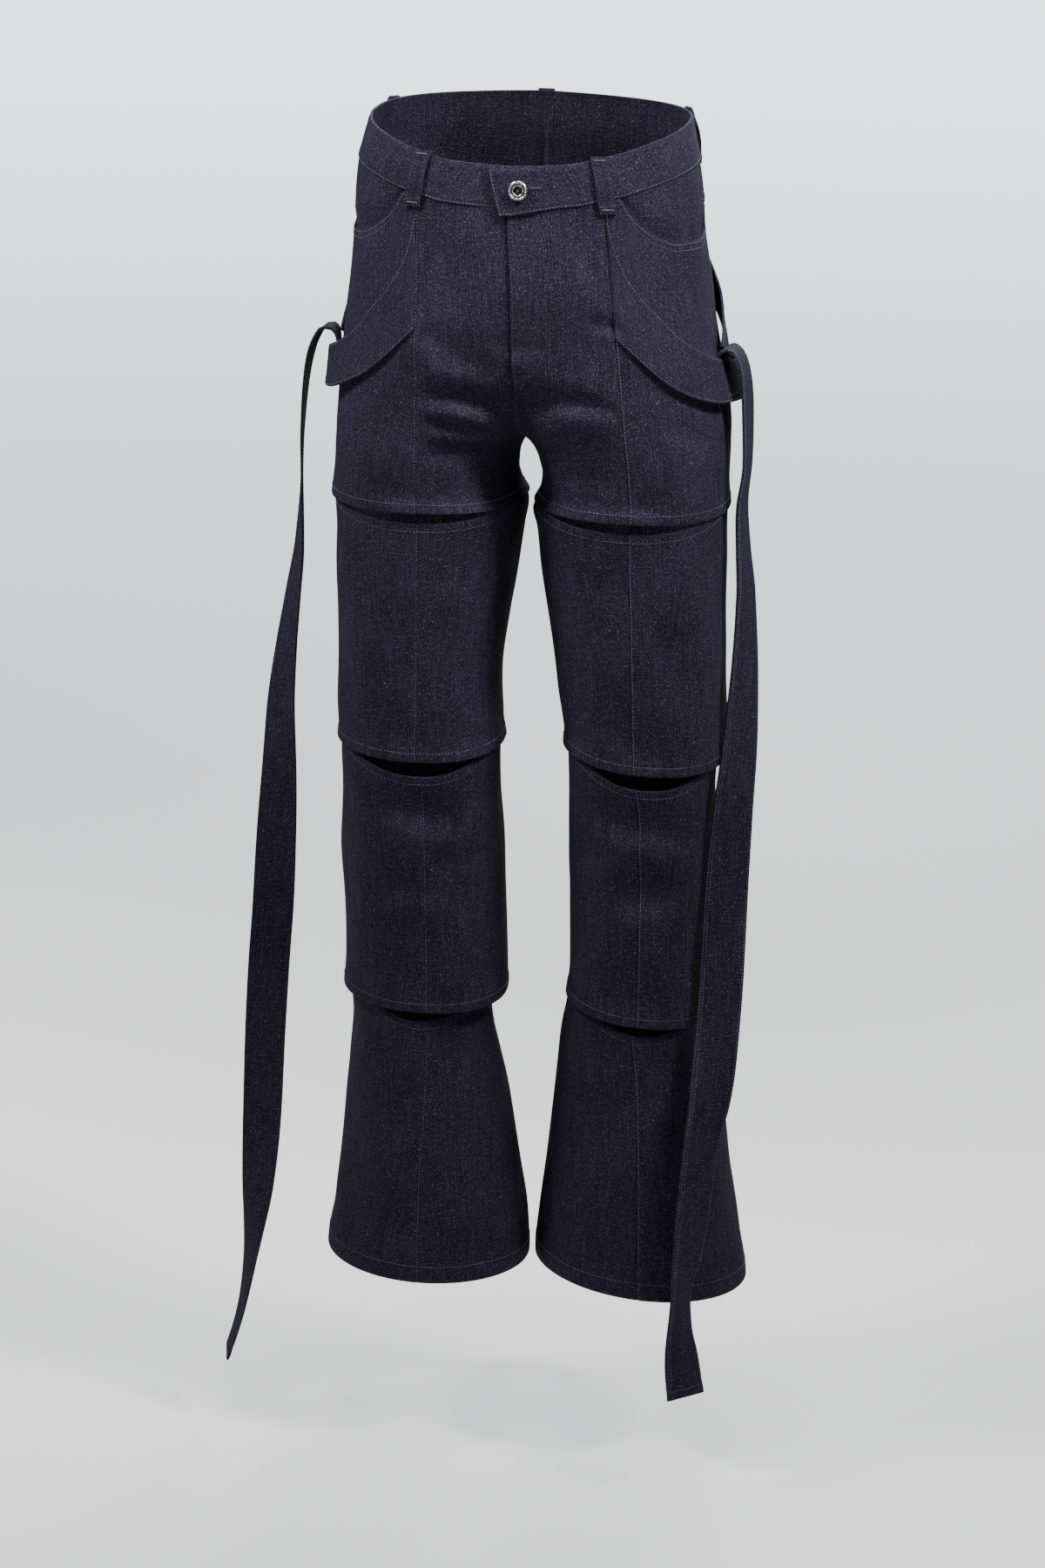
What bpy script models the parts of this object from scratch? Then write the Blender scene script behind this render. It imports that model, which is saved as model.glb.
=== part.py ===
# Wide-leg jeans with cut-across legs, as worn: four telescoping tubes a leg, two hip wings, two long straps.
# Metres, +Z up. +X is the wearer's left, -Y the front, and z = 0 the top of the waistband at the sides.
import math

import bpy
import numpy as np

for old in list(bpy.data.objects):
    bpy.data.objects.remove(old, do_unlink=True)

# Driving sizes
WALL = 0.0016
SEAM_GAP = 0.0003
BAND_DEPTH = 0.037
BAND_OUT = 0.0008
BAND_WALL = 0.0022
CROTCH = -0.290
STRAP_WIDTH = 0.040
STRAP_THICK = 0.0018
STRAP_ROWS = 60  # close enough that the twist of the strap stays small from row to row
LOOP_WIDTH = 0.015
LOOP_TAIL = 0.011
LOOP_THICK = 0.0014
LOOP_RISE = 0.001  # above the top of the waistband
POCKET_HIDDEN = 0.012  # how far the pocket facing reaches below the scoop
POCKET_FLAT = 0.004  # how far above the scoop it starts to rise
POCKET_RISE = 0.012  # the height over which it rises to the outer face
UNDER = WALL + 3 * SEAM_GAP  # depth of a facing behind the fronts
FLY_UNDER_EDGE = 0.008
FLY_SPLIT = 0.001  # half the width between the two sides of the fly facing's rows
FLY_WALL = 0.0012
BUTTON_STAND = 0.0008  # clear of the lapped end
BUTTON_EDGE = 0.0009
BUTTON_RADIUS = 0.009
BUTTON_THICK = 0.0034
BUTTON_AT = (0.0044, -0.0612)
DEGREE = 0.0018  # cloth along one degree of turn, near enough to shape a fold
SIGN = {"left": 1, "right": -1}

# The leg rings are superellipses; a higher power is squarer.
SQUARE = {"top": 2.4, "thigh": 2.4, "calf": 2.3, "flare": 2.0}

# Sections of the body above the crotch. The centre plane is at "middle", and "split" grows from
# 0, one round ring, to 1, two leg rings that meet at the crotch.
TORSO_COLUMNS = (
    "z", "outer_left", "outer_right", "middle", "split", "front", "back", "seam_left", "seam_right",
)
TORSO = (
    (0.030, 0.1300, 0.1350, -0.006, 0.00, -0.096, 0.094, 0.068, 0.075),
    (0.000, 0.1385, 0.1430, -0.006, 0.00, -0.101, 0.100, 0.072, 0.080),
    (-0.025, 0.1445, 0.1505, -0.006, 0.00, -0.106, 0.104, 0.076, 0.084),
    (-0.050, 0.1490, 0.1562, -0.006, 0.01, -0.110, 0.110, 0.079, 0.086),
    (-0.080, 0.1530, 0.1590, -0.005, 0.02, -0.112, 0.117, 0.080, 0.087),
    (-0.120, 0.1570, 0.1615, -0.002, 0.06, -0.115, 0.128, 0.085, 0.087),
    (-0.160, 0.1615, 0.1640, 0.001, 0.13, -0.117, 0.136, 0.0895, 0.086),
    (-0.200, 0.1680, 0.1675, 0.002, 0.25, -0.116, 0.138, 0.094, 0.0855),
    (-0.235, 0.1755, 0.1705, 0.003, 0.42, -0.113, 0.134, 0.098, 0.0855),
    (-0.262, 0.1810, 0.1722, 0.003, 0.64, -0.110, 0.127, 0.101, 0.0855),
    (-0.280, 0.1835, 0.1732, 0.003, 0.86, -0.108, 0.121, 0.103, 0.0855),
    (CROTCH, 0.1840, 0.1736, 0.003, 1.00, -0.107, 0.118, 0.1045, 0.0855),
)

# Sections of each leg tube. "outer" and "inner" are its widest points, "turned" how far its front
# swings outwards, and "seam" the seam down its front.
LEG_COLUMNS = (
    "z", "outer_left", "inner_left", "turned_left", "outer_right", "inner_right", "turned_right",
    "front", "back", "seam_left", "seam_right",
)
LEGS = {
    "top": (
        (CROTCH, 0.1840, 0.0030, 0.000, 0.1736, -0.0030, 0.000, -0.107, 0.118, 0.1045, 0.0855),
        (-0.297, 0.1845, 0.0080, 0.001, 0.1740, 0.0035, 0.000, -0.1065, 0.116, 0.1055, 0.0855),
        (-0.310, 0.1848, 0.0130, 0.002, 0.1745, 0.0085, -0.001, -0.1055, 0.113, 0.1065, 0.0855),
        (-0.324, 0.1848, 0.0155, 0.004, 0.1750, 0.0090, -0.002, -0.104, 0.110, 0.108, 0.0855),
        (-0.337, 0.1855, 0.0135, 0.006, 0.1758, 0.0055, -0.003, -0.103, 0.107, 0.109, 0.0856),
        (-0.350, 0.1865, 0.0065, 0.007, 0.1770, -0.0035, -0.004, -0.1035, 0.106, 0.109, 0.0856),
    ),
    "thigh": (
        (-0.348, 0.1838, 0.0106, 0.007, 0.1743, 0.0010, -0.004, -0.1008, 0.103, 0.1085, 0.0840),
        (-0.356, 0.1843, 0.0068, 0.007, 0.1740, -0.0015, -0.004, -0.100, 0.102, 0.1080, 0.0835),
        (-0.375, 0.1846, 0.0112, 0.008, 0.1732, 0.0008, -0.005, -0.099, 0.098, 0.1082, 0.0835),
        (-0.410, 0.1860, 0.0165, 0.009, 0.1722, 0.0055, -0.006, -0.097, 0.091, 0.1095, 0.0835),
        (-0.460, 0.1880, 0.0248, 0.010, 0.1708, 0.0118, -0.008, -0.094, 0.084, 0.1120, 0.0835),
        (-0.515, 0.1905, 0.0340, 0.011, 0.1692, 0.0172, -0.009, -0.091, 0.077, 0.1140, 0.0835),
        (-0.560, 0.1925, 0.0408, 0.012, 0.1690, 0.0140, -0.010, -0.0895, 0.074, 0.1155, 0.0838),
        (-0.582, 0.1920, 0.0398, 0.012, 0.1702, 0.0095, -0.011, -0.090, 0.074, 0.1170, 0.0838),
    ),
    "calf": (
        (-0.586, 0.1850, 0.0450, 0.012, 0.1668, 0.0162, -0.011, -0.087, 0.071, 0.1175, 0.0805),
        (-0.620, 0.1844, 0.0460, 0.012, 0.1662, 0.0155, -0.012, -0.084, 0.074, 0.1218, 0.0770),
        (-0.670, 0.1850, 0.0468, 0.012, 0.1664, 0.0130, -0.012, -0.081, 0.081, 0.1240, 0.0745),
        (-0.730, 0.1865, 0.0480, 0.012, 0.1656, 0.0097, -0.013, -0.078, 0.090, 0.1250, 0.0733),
        (-0.790, 0.1882, 0.0488, 0.013, 0.1646, 0.0070, -0.014, -0.0765, 0.094, 0.1257, 0.0715),
        (-0.826, 0.1905, 0.0450, 0.013, 0.1655, 0.0056, -0.015, -0.0775, 0.095, 0.1260, 0.0703),
    ),
    "flare": (
        (-0.832, 0.1860, 0.0462, 0.013, 0.1582, 0.0210, -0.014, -0.0735, 0.090, 0.1210, 0.0702),
        (-0.850, 0.1862, 0.0436, 0.013, 0.1576, 0.0188, -0.014, -0.0735, 0.089, 0.1225, 0.0702),
        (-0.880, 0.1910, 0.0405, 0.013, 0.1588, 0.0115, -0.014, -0.0750, 0.090, 0.1261, 0.0706),
        (-0.925, 0.2020, 0.0365, 0.014, 0.1612, 0.0015, -0.014, -0.0780, 0.094, 0.1295, 0.0715),
        (-0.985, 0.2110, 0.0312, 0.015, 0.1665, -0.0092, -0.015, -0.0840, 0.102, 0.1328, 0.0740),
        (-1.040, 0.2195, 0.0250, 0.016, 0.1728, -0.0182, -0.016, -0.0895, 0.110, 0.1348, 0.0738),
        (-1.070, 0.2255, 0.0228, 0.016, 0.1780, -0.0198, -0.016, -0.0920, 0.114, 0.1362, 0.0725),
        (-1.096, 0.2285, 0.0226, 0.016, 0.1788, -0.0198, -0.016, -0.0935, 0.117, 0.1379, 0.0709),
    ),
}
ORDER = ("top", "thigh", "calf", "flare")

# The hem of each tube: height at the sides, dip in front, drop of the outseam, then the slit below
# it in front, how far the next tube tucks up inside it, and how sharply the slit closes.
HEM_COLUMNS = ("side", "dip", "drop", "slit", "tuck", "closing")
HEMS = {
    "top": (-0.348, 0.0040, 0.001, 0.0090, 0.011, 1.0),
    "thigh": (-0.575, 0.0080, 0.002, 0.0140, 0.011, 1.7),
    "calf": (-0.819, 0.0050, 0.002, 0.0090, 0.011, 2.2),
    "flare": (-1.082, 0.0010, 0.003, 0.0, 0.0, 1.0),
}

# Top of the waistband by angle round from the front
WAIST_ANGLE = (0, 17, 26, 35, 55, 90, 120, 180)
WAIST_TOP = (-0.0403, -0.0372, -0.0325, -0.0280, -0.0172, -0.0040, 0.0020, 0.0080)

# Scoop of the front pocket, by turn round the hip
POCKET_TURN = (124, 126, 129, 138.5, 150.6, 166.7, 180)
POCKET_EDGE = (-0.0655, -0.0760, -0.0858, -0.0999, -0.1067, -0.1066, -0.1000)
POCKET_START = 124.0

# Hip wing: share of the way from the front seam to its end, its two edges, and how far each stands off
WING_END = 196.0
WING_COLUMNS = ("share", "upper", "lower", "lift_upper", "lift_lower")
WING = (
    (0.000, -0.084, -0.1860, 0.0003, 0.0003),
    (0.023, -0.110, -0.1915, 0.0004, 0.0004),
    (0.077, -0.134, -0.2015, 0.0006, 0.0008),
    (0.150, -0.153, -0.2140, 0.0010, 0.0016),
    (0.244, -0.170, -0.2275, 0.0016, 0.0028),
    (0.340, -0.187, -0.2370, 0.0024, 0.0042),
    (0.466, -0.201, -0.2455, 0.0042, 0.0066),
    (0.640, -0.213, -0.2518, 0.0080, 0.0100),
    (0.820, -0.220, -0.2540, 0.0114, 0.0130),
    (0.910, -0.221, -0.2540, 0.0112, 0.0126),
    (1.000, -0.222, -0.2530, 0.0080, 0.0090),
)

# Back strap, sewn on at the yoke seam: its forward and rear edges, and how far its face stands off
BACK_STRAP_COLUMNS = ("turn_a", "z_a", "turn_b", "z_b", "lift")
BACK_STRAP = (
    (226.0, -0.0980, 243.0, -0.1060, 0.0026),
    (219.7, -0.1040, 234.5, -0.1240, 0.0029),
    (211.7, -0.1165, 226.3, -0.1385, 0.0034),
    (203.7, -0.1325, 218.3, -0.1545, 0.0044),
    (196.0, -0.1500, 211.0, -0.1710, 0.0056),
    (189.3, -0.1690, 204.7, -0.1880, 0.0074),
    (183.3, -0.1890, 199.0, -0.2060, 0.0074),
    (178.5, -0.2065, 193.8, -0.2225, 0.0060),
)

# Hanging strap of each side: distance out, back and up, and the turn of its width from side-on
TAILS = {
    "left": (
        (0.1764, -0.008, -0.2280, 82),
        (0.1760, -0.008, -0.2150, 82),
        (0.1772, -0.008, -0.2075, 84),
        (0.1830, -0.009, -0.2035, 87),
        (0.1890, -0.009, -0.2065, 88),
        (0.1938, -0.010, -0.2140, 87),
        (0.1972, -0.010, -0.2260, 86),
        (0.1996, -0.011, -0.2420, 85),
        (0.2012, -0.012, -0.2620, 85),
        (0.2026, -0.014, -0.3050, 86),
        (0.1995, -0.016, -0.3450, 82),
        (0.2025, -0.019, -0.3850, 78),
        (0.2065, -0.022, -0.4250, 72),
        (0.2085, -0.030, -0.5000, 60),
        (0.2075, -0.038, -0.5600, 47),
        (0.2040, -0.045, -0.6250, 32),
        (0.2015, -0.053, -0.7000, 12),
        (0.2013, -0.062, -0.7700, 3),
        (0.1995, -0.071, -0.8350, 4),
        (0.1965, -0.079, -0.8850, 26),
        (0.1905, -0.087, -0.9300, 43),
        (0.1870, -0.096, -0.9850, 46),
        (0.1830, -0.104, -1.0350, 56),
        (0.1790, -0.110, -1.0720, 72),
        (0.1795, -0.114, -1.1000, 66),
        (0.1830, -0.118, -1.1300, 50),
        (0.1880, -0.122, -1.1620, 42),
    ),
    "right": (
        (0.1740, -0.008, -0.2280, 82),
        (0.1737, -0.008, -0.2150, 82),
        (0.1750, -0.008, -0.2060, 84),
        (0.1805, -0.009, -0.2005, 87),
        (0.1870, -0.009, -0.2010, 88),
        (0.1930, -0.010, -0.2090, 87),
        (0.1985, -0.010, -0.2230, 86),
        (0.2020, -0.011, -0.2420, 84),
        (0.2045, -0.012, -0.2700, 82),
        (0.2060, -0.013, -0.3100, 80),
        (0.2058, -0.014, -0.3500, 78),
        (0.2070, -0.015, -0.4000, 70),
        (0.2125, -0.016, -0.4500, 60),
        (0.2180, -0.017, -0.5000, 50),
        (0.2225, -0.018, -0.5600, 38),
        (0.2235, -0.019, -0.6200, 26),
        (0.2255, -0.020, -0.6800, 14),
        (0.2275, -0.021, -0.7400, 6),
        (0.2315, -0.022, -0.8100, 4),
        (0.2345, -0.022, -0.8800, 8),
        (0.2365, -0.022, -0.9500, 16),
        (0.2400, -0.023, -1.0200, 32),
        (0.2440, -0.024, -1.0700, 52),
        (0.2470, -0.025, -1.1000, 62),
        (0.2530, -0.026, -1.1400, 70),
        (0.2600, -0.027, -1.1700, 74),
        (0.2680, -0.028, -1.1950, 76),
    ),
}

# Largest folds: side, tube, both ends as turn and height, depth inwards and half width
FOLDS = (
    ("left", "top", 35, -0.278, 96, -0.238, 0.0030, 0.012),
    ("left", "top", 120, -0.262, 150, -0.285, 0.0016, 0.012),
    ("left", "top", 52, -0.312, 88, -0.318, 0.0016, 0.010),
    ("left", "top", 258, -0.258, 300, -0.285, 0.0035, 0.014),
    ("left", "top", 205, -0.300, 250, -0.292, 0.0022, 0.012),
    ("right", "top", 30, -0.280, 92, -0.236, 0.0036, 0.012),
    ("right", "top", 44, -0.300, 84, -0.293, 0.0026, 0.010),
    ("right", "top", 258, -0.255, 302, -0.286, 0.0032, 0.014),
    ("right", "top", 208, -0.296, 246, -0.290, 0.0020, 0.012),
    ("left", "calf", 50, -0.628, 128, -0.640, 0.0030, 0.016),
    ("left", "calf", 70, -0.706, 120, -0.694, 0.0022, 0.016),
    ("left", "calf", 225, -0.632, 318, -0.645, 0.0040, 0.018),
    ("right", "calf", 60, -0.640, 132, -0.622, 0.0030, 0.016),
    ("right", "calf", 78, -0.700, 134, -0.716, 0.0022, 0.016),
    ("right", "calf", 222, -0.650, 312, -0.636, 0.0040, 0.018),
    ("left", "thigh", 235, -0.510, 305, -0.500, 0.0030, 0.018),
    ("right", "thigh", 238, -0.500, 308, -0.512, 0.0030, 0.018),
    ("left", "flare", 232, -0.905, 300, -0.915, 0.0025, 0.020),
    ("right", "flare", 236, -0.915, 304, -0.900, 0.0025, 0.020),
)


# Tables
def smooth(xs, ys, x):
    # a cubic through the points that never overshoots them, level past the last ones
    order = np.argsort(xs)
    xs, ys = np.asarray(xs, float)[order], np.asarray(ys, float)[order]
    slope = np.diff(ys) / np.diff(xs)
    lean = np.concatenate([slope[:1], np.zeros(len(xs) - 2), slope[-1:]])
    same = slope[:-1] * slope[1:] > 0
    lean[1:-1][same] = 2 * slope[:-1][same] * slope[1:][same] / (slope[:-1][same] + slope[1:][same])
    x = np.clip(np.asarray(x, float), xs[0], xs[-1])
    i = np.clip(np.searchsorted(xs, x) - 1, 0, len(xs) - 2)
    width = xs[i + 1] - xs[i]
    t = (x - xs[i]) / width
    start = (1 + 2 * t) * (1 - t) ** 2 * ys[i] + t * (1 - t) ** 2 * width * lean[i]
    return start + t * t * (3 - 2 * t) * ys[i + 1] + t * t * (t - 1) * width * lean[i + 1]


def table(columns, rows):
    return {name: np.array([row[i] for row in rows]) for i, name in enumerate(columns)}


def read(source, name, z):
    return smooth(source["z"], source[name], z)


def leg_tables():
    # each lower tube begins with its top ring, a wall and a gap inside the tube above
    tucked = WALL + 2 * SEAM_GAP
    change = {"outer": -tucked, "inner": 1.3 * tucked, "front": tucked, "back": -tucked}
    tables = {"top": table(LEG_COLUMNS, LEGS["top"])}
    for above, block in zip(ORDER, ORDER[1:]):
        hem = dict(zip(HEM_COLUMNS, HEMS[above]))
        join = hem["side"] + hem["tuck"] + hem["drop"]
        first = [join]
        for name in LEG_COLUMNS[1:]:
            first.append(float(read(tables[above], name, join)) + change.get(name.split("_")[0], 0))
        tables[block] = table(LEG_COLUMNS, (tuple(first),) + LEGS[block])
    return tables


TORSO_TABLE = table(TORSO_COLUMNS, TORSO)
LEG_TABLES = leg_tables()


# The cloth's outer surface. A turn of 0 is the inseam, 90 the front, 180 the side seam and 270 the back.
def ring(side, block, z):
    leg = LEG_TABLES[block]
    outer, inner = read(leg, "outer_" + side, z), read(leg, "inner_" + side, z)
    turned = read(leg, "turned_" + side, z)
    found = {
        "centre": (outer + inner) / 2,
        "half": np.sqrt(((outer - inner) / 2) ** 2 - turned**2),
        "front": read(leg, "front", z),
        "back": read(leg, "back", z),
        "turned": turned,
        "seam": read(leg, "seam_" + side, z),
        "split": np.ones_like(outer),
    }
    if block != "top":
        return found
    split = read(TORSO_TABLE, "split", z)
    middle = SIGN[side] * read(TORSO_TABLE, "middle", z)
    half = (read(TORSO_TABLE, "outer_" + side, z) - middle) / (1 + split)
    torso = {
        "centre": middle + split * half,
        "half": half,
        "front": read(TORSO_TABLE, "front", z),
        "back": read(TORSO_TABLE, "back", z),
        "turned": np.zeros_like(half),
        "seam": read(TORSO_TABLE, "seam_" + side, z),
        "split": split,
    }
    above = np.asarray(z) >= CROTCH
    return {name: np.where(above, torso[name], found[name]) for name in found}


def start_turn(side, block, z):
    # where the ring meets the centre plane: 0 on a whole leg, 90 at the waist
    split = np.clip(ring(side, block, z)["split"], 0, 1)
    return np.degrees(np.arccos(split ** (SQUARE[block] / 2)))


def turn_at(side, block, z, x):
    r = ring(side, block, z)
    across = np.clip((r["centre"] + r["turned"] - x) / r["half"], -1, 1)
    return np.degrees(np.arccos(np.sign(across) * np.abs(across) ** (SQUARE[block] / 2)))


def seam_turn(side, block, z):
    return turn_at(side, block, z, ring(side, block, z)["seam"])


def fold_depth(side, block, turn, z):
    depth = np.zeros(np.shape(turn))
    for fold_side, fold_block, turn_a, z_a, turn_b, z_b, most, width in FOLDS:
        if (fold_side, fold_block) != (side, block):
            continue
        run = np.array([(turn_b - turn_a) * DEGREE, z_b - z_a])
        from_a = np.stack([(turn - turn_a) * DEGREE, z - z_a], axis=-1)
        along = np.clip(from_a @ run / (run @ run), 0, 1)
        off = np.linalg.norm(from_a - along[..., None] * run, axis=-1)
        ends = np.clip(4 * along * (1 - along), 0, 1) ** 0.5
        depth = depth + most * ends * np.exp(-((off / width) ** 2))
    return depth


def surface(side, block, turn, z):
    turn, z = np.broadcast_arrays(np.asarray(turn, float), np.asarray(z, float))
    r = ring(side, block, z)
    cosine, sine = np.cos(np.radians(turn)), np.sin(np.radians(turn))
    power = 2 / SQUARE[block]
    across = -np.sign(cosine) * np.abs(cosine) ** power
    along = -np.sign(sine) * np.abs(sine) ** power
    fold = fold_depth(side, block, turn, z)
    deep = (r["back"] - r["front"]) / 2
    x = r["centre"] + (r["half"] - fold) * across + r["turned"] * sine + 0.85 * SEAM_GAP
    y = (r["front"] + r["back"]) / 2 + (deep - fold) * along
    return np.stack([SIGN[side] * x, y, z], axis=-1)


def normal(side, block, turn, z):
    step_turn, step_z = 0.5, 0.0006
    turn, z = np.broadcast_arrays(np.asarray(turn, float), np.asarray(z, float))
    along = surface(side, block, turn + step_turn, z) - surface(side, block, turn - step_turn, z)
    down = surface(side, block, turn, z - step_z) - surface(side, block, turn, z + step_z)
    out = SIGN[side] * np.cross(down, along)
    return out / np.linalg.norm(out, axis=-1, keepdims=True)


def lifted(side, block, turn, z, lift):
    return surface(side, block, turn, z) + normal(side, block, turn, z) * np.asarray(lift)[..., None]


# Edges of the pieces
def hem_edge(block, turn):
    hem = dict(zip(HEM_COLUMNS, HEMS[block]))
    front = np.clip(np.sin(np.radians(turn)), 0, 1)
    return hem["side"] - hem["dip"] * front**2 + hem["drop"] * np.cos(np.radians(turn))


def slit_edge(block, turn):
    above = ORDER[ORDER.index(block) - 1]
    hem = dict(zip(HEM_COLUMNS, HEMS[above]))
    front = np.clip(np.sin(np.radians(turn)), 0, 1)
    return hem_edge(above, turn) + hem["tuck"] - (hem["slit"] + hem["tuck"]) * front ** hem["closing"]


def waist_edge(angle):
    return smooth(WAIST_ANGLE, WAIST_TOP, np.abs(angle))


TAB_TOP_DROP = 0.0045
TAB_LOW_DROP = 0.0085
TAB_REACH = 14.0  # degrees over which the lapped end of the waistband hangs lower


def tab_share(angle):
    # 1 at the lapped end, 0 where the waistband is level again
    return np.clip(1 - (np.asarray(angle, float) + 3.6) / (TAB_REACH + 3.6), 0, 1) ** 1.5


def band_seam(side, turn):
    # where the panels meet the waistband
    angle = np.asarray(turn, float) - 90
    level = waist_edge(angle) - BAND_DEPTH
    return level - (TAB_LOW_DROP * tab_share(angle) if side == "left" else 0) - SEAM_GAP


def pocket_edge(side, turn):
    scoop = smooth(POCKET_TURN, POCKET_EDGE, turn)
    return np.where(turn < POCKET_START, band_seam(side, turn), np.minimum(scoop, band_seam(side, turn)))


def yoke_edge(turn):
    return -0.076 - 0.042 * np.clip((np.asarray(turn, float) - 180) / 90, 0, 1)


# Building
def material(name, colour, roughness, metallic=0.0):
    made = bpy.data.materials.new(name)
    made.use_nodes = True
    shader = made.node_tree.nodes["Principled BSDF"]
    shader.inputs["Base Color"].default_value = (*colour, 1)
    shader.inputs["Roughness"].default_value = roughness
    shader.inputs["Metallic"].default_value = metallic
    return made


DENIM = (0.022, 0.021, 0.038)
STEEL = (0.62, 0.62, 0.63)

jeans = bpy.data.collections.new("wide_leg_jeans")
bpy.context.scene.collection.children.link(jeans)


def add_object(name, mesh, colour, roughness, metallic=0.0):
    mesh.materials.append(material(name, colour, roughness, metallic))
    mesh.shade_smooth()
    mesh.set_sharp_from_angle(angle=math.radians(40))
    made = bpy.data.objects.new(name, mesh)
    jeans.objects.link(made)
    return made


def slab(name, outer, inner):
    # a closed wall between two grids of points with the same rows and columns
    rows, columns = outer.shape[:2]
    points = np.concatenate([outer.reshape(-1, 3), inner.reshape(-1, 3)])
    number = np.arange(rows * columns).reshape(rows, columns)
    back = number + rows * columns
    faces = []
    for grid, flip in ((number, False), (back, True)):
        for i in range(rows - 1):
            for j in range(columns - 1):
                face = [grid[i, j], grid[i + 1, j], grid[i + 1, j + 1], grid[i, j + 1]]
                # both faces of the wall start at the same corner, so they are split along the same diagonal
                faces.append([face[0], face[3], face[2], face[1]] if flip else face)
    edge = [(0, j) for j in range(columns)] + [(i, columns - 1) for i in range(1, rows)]
    edge += [(rows - 1, j) for j in range(columns - 2, -1, -1)] + [(i, 0) for i in range(rows - 2, 0, -1)]
    for (a, b), (c, d) in zip(edge, edge[1:] + edge[:1]):
        faces.append([number[a, b], number[c, d], back[c, d], back[a, b]])
    mesh = bpy.data.meshes.new(name)
    mesh.from_pydata([tuple(p) for p in points], [], [[int(v) for v in face] for face in faces])
    corners = [[points[v] for v in face] for face in faces]
    volume = sum(np.dot(c[0], np.cross(c[i], c[i + 1])) for c in corners for i in range(1, len(c) - 1))
    if volume < 0:
        mesh.flip_normals()
    return add_object(name, mesh, DENIM, 0.85)


def wall(name, side, block, turn, z, lift=0.0, thick=WALL):
    lift = np.broadcast_to(np.asarray(lift, float), np.shape(turn))
    outer = lifted(side, block, turn, z, lift)
    inner = lifted(side, block, turn, z, lift - thick)
    return slab(name, outer, inner)


def half_gap(side, block, turn, z):
    # the turn that half a seam gap takes up
    step = surface(side, block, turn + 0.5, z) - surface(side, block, turn - 0.5, z)
    return SEAM_GAP / 2 / np.linalg.norm(step, axis=-1)


def panel(name, side, block, first, last, upper, lower, columns, levels):
    # first and last give the turn of the side edges at a height; upper and lower the end heights at a turn
    columns = np.asarray(columns, float)
    level = CROTCH + 0.1 if block == "top" else float(np.mean(LEG_TABLES[block]["z"]))
    tops, ends = np.full(len(columns), level), np.full(len(columns), level)
    for _ in range(6):
        tops = upper(first(tops) + (last(tops) - first(tops)) * columns)
        ends = lower(first(ends) + (last(ends) - first(ends)) * columns)
    z = levels(tops, ends)
    start, stop = first(z), last(z)
    start = start + half_gap(side, block, start, z)
    stop = stop - half_gap(side, block, stop, z)
    turn = start + (stop - start) * columns
    return wall(name, side, block, turn, z)


def spread(shares):
    shares = np.asarray(shares, float)[:, None]
    return lambda tops, ends: tops + (ends - tops) * shares


TOP_LEVELS = (-0.128, -0.160, -0.192, -0.220, -0.244, -0.262, -0.277, CROTCH, -0.303, -0.320, -0.337)


def fixed_levels(tops, ends):
    # rows at fixed heights, so that one lies at the crotch, with one more below the top edge
    middle = (tops + TOP_LEVELS[0]) / 2
    rows = [tops, middle] + [np.full(len(tops), z) for z in TOP_LEVELS] + [ends]
    return np.array(rows)


def even(count):
    return np.linspace(0, 1, count + 1)


INNER_COLUMNS = (0, 0.12, 0.3, 0.52, 0.76, 1)
OUTER_COLUMNS = (0, 0.18, 0.33, 0.52, 0.76, 1)
LOWER_LEVELS = (0, 0.035, 0.075, 0.15, 0.28, 0.44, 0.62, 0.80, 0.95, 1)


def build_top(side):
    def start(z):
        return start_turn(side, "top", z)

    def seam(z):
        return seam_turn(side, "top", z)

    def outseam(z):
        return np.full(np.shape(z), 180.0)

    def end(z):
        return 360 - start_turn(side, "top", z)

    def hem(turn):
        return hem_edge("top", turn)

    def under_yoke(turn):
        return yoke_edge(turn) - SEAM_GAP

    panel(
        "front_centre_" + side, side, "top", start, seam, lambda turn: band_seam(side, turn), hem,
        INNER_COLUMNS, fixed_levels,
    )
    panel(
        "front_side_" + side, side, "top", seam, outseam, lambda turn: pocket_edge(side, turn), hem,
        (0, 0.09, 0.18, 0.33, 0.52, 0.76, 1), fixed_levels,
    )
    panel("seat_" + side, side, "top", outseam, end, under_yoke, hem, even(9), fixed_levels)
    panel(
        "yoke_" + side, side, "top", outseam, end, lambda turn: band_seam(side, turn), yoke_edge,
        even(9), spread((0, 0.5, 1)),
    )


def build_pocket(side):
    # the facing shows inside the scoop and carries on behind the front
    turn = np.tile(np.array([121.5, 125.5, 130, 138.5, 150, 165, 179.8]), (6, 1))
    edge = pocket_edge(side, turn)
    top = band_seam(side, turn)
    above = np.maximum(top - edge, 0)
    share = np.array([0, 0.45, 0.75, 1.0, 1.35, 1.7])[:, None]
    z = np.where(share <= 1, top - above * share, edge - POCKET_HIDDEN * (share - 1) / (share[-1] - 1))
    z = z - np.where(above < 0.001, 0.003 * share, 0)  # no row lies on another where the scoop starts
    rise = np.clip((z - edge - POCKET_FLAT) / POCKET_RISE, 0, 1)
    wall("pocket_facing_" + side, side, "top", turn, z, -UNDER * (1 - rise))


def build_wing(side):
    wing = table(WING_COLUMNS, WING)
    share = wing["share"]
    down = np.linspace(0, 1, 5)[:, None]
    z = wing["upper"] + (wing["lower"] - wing["upper"]) * down
    seam = seam_turn(side, "top", z)
    turn = seam + (WING_END - seam) * share
    lift = wing["lift_upper"] + (wing["lift_lower"] - wing["lift_upper"]) * down + WALL
    wall("wing_" + side, side, "top", turn, z, lift)


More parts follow.
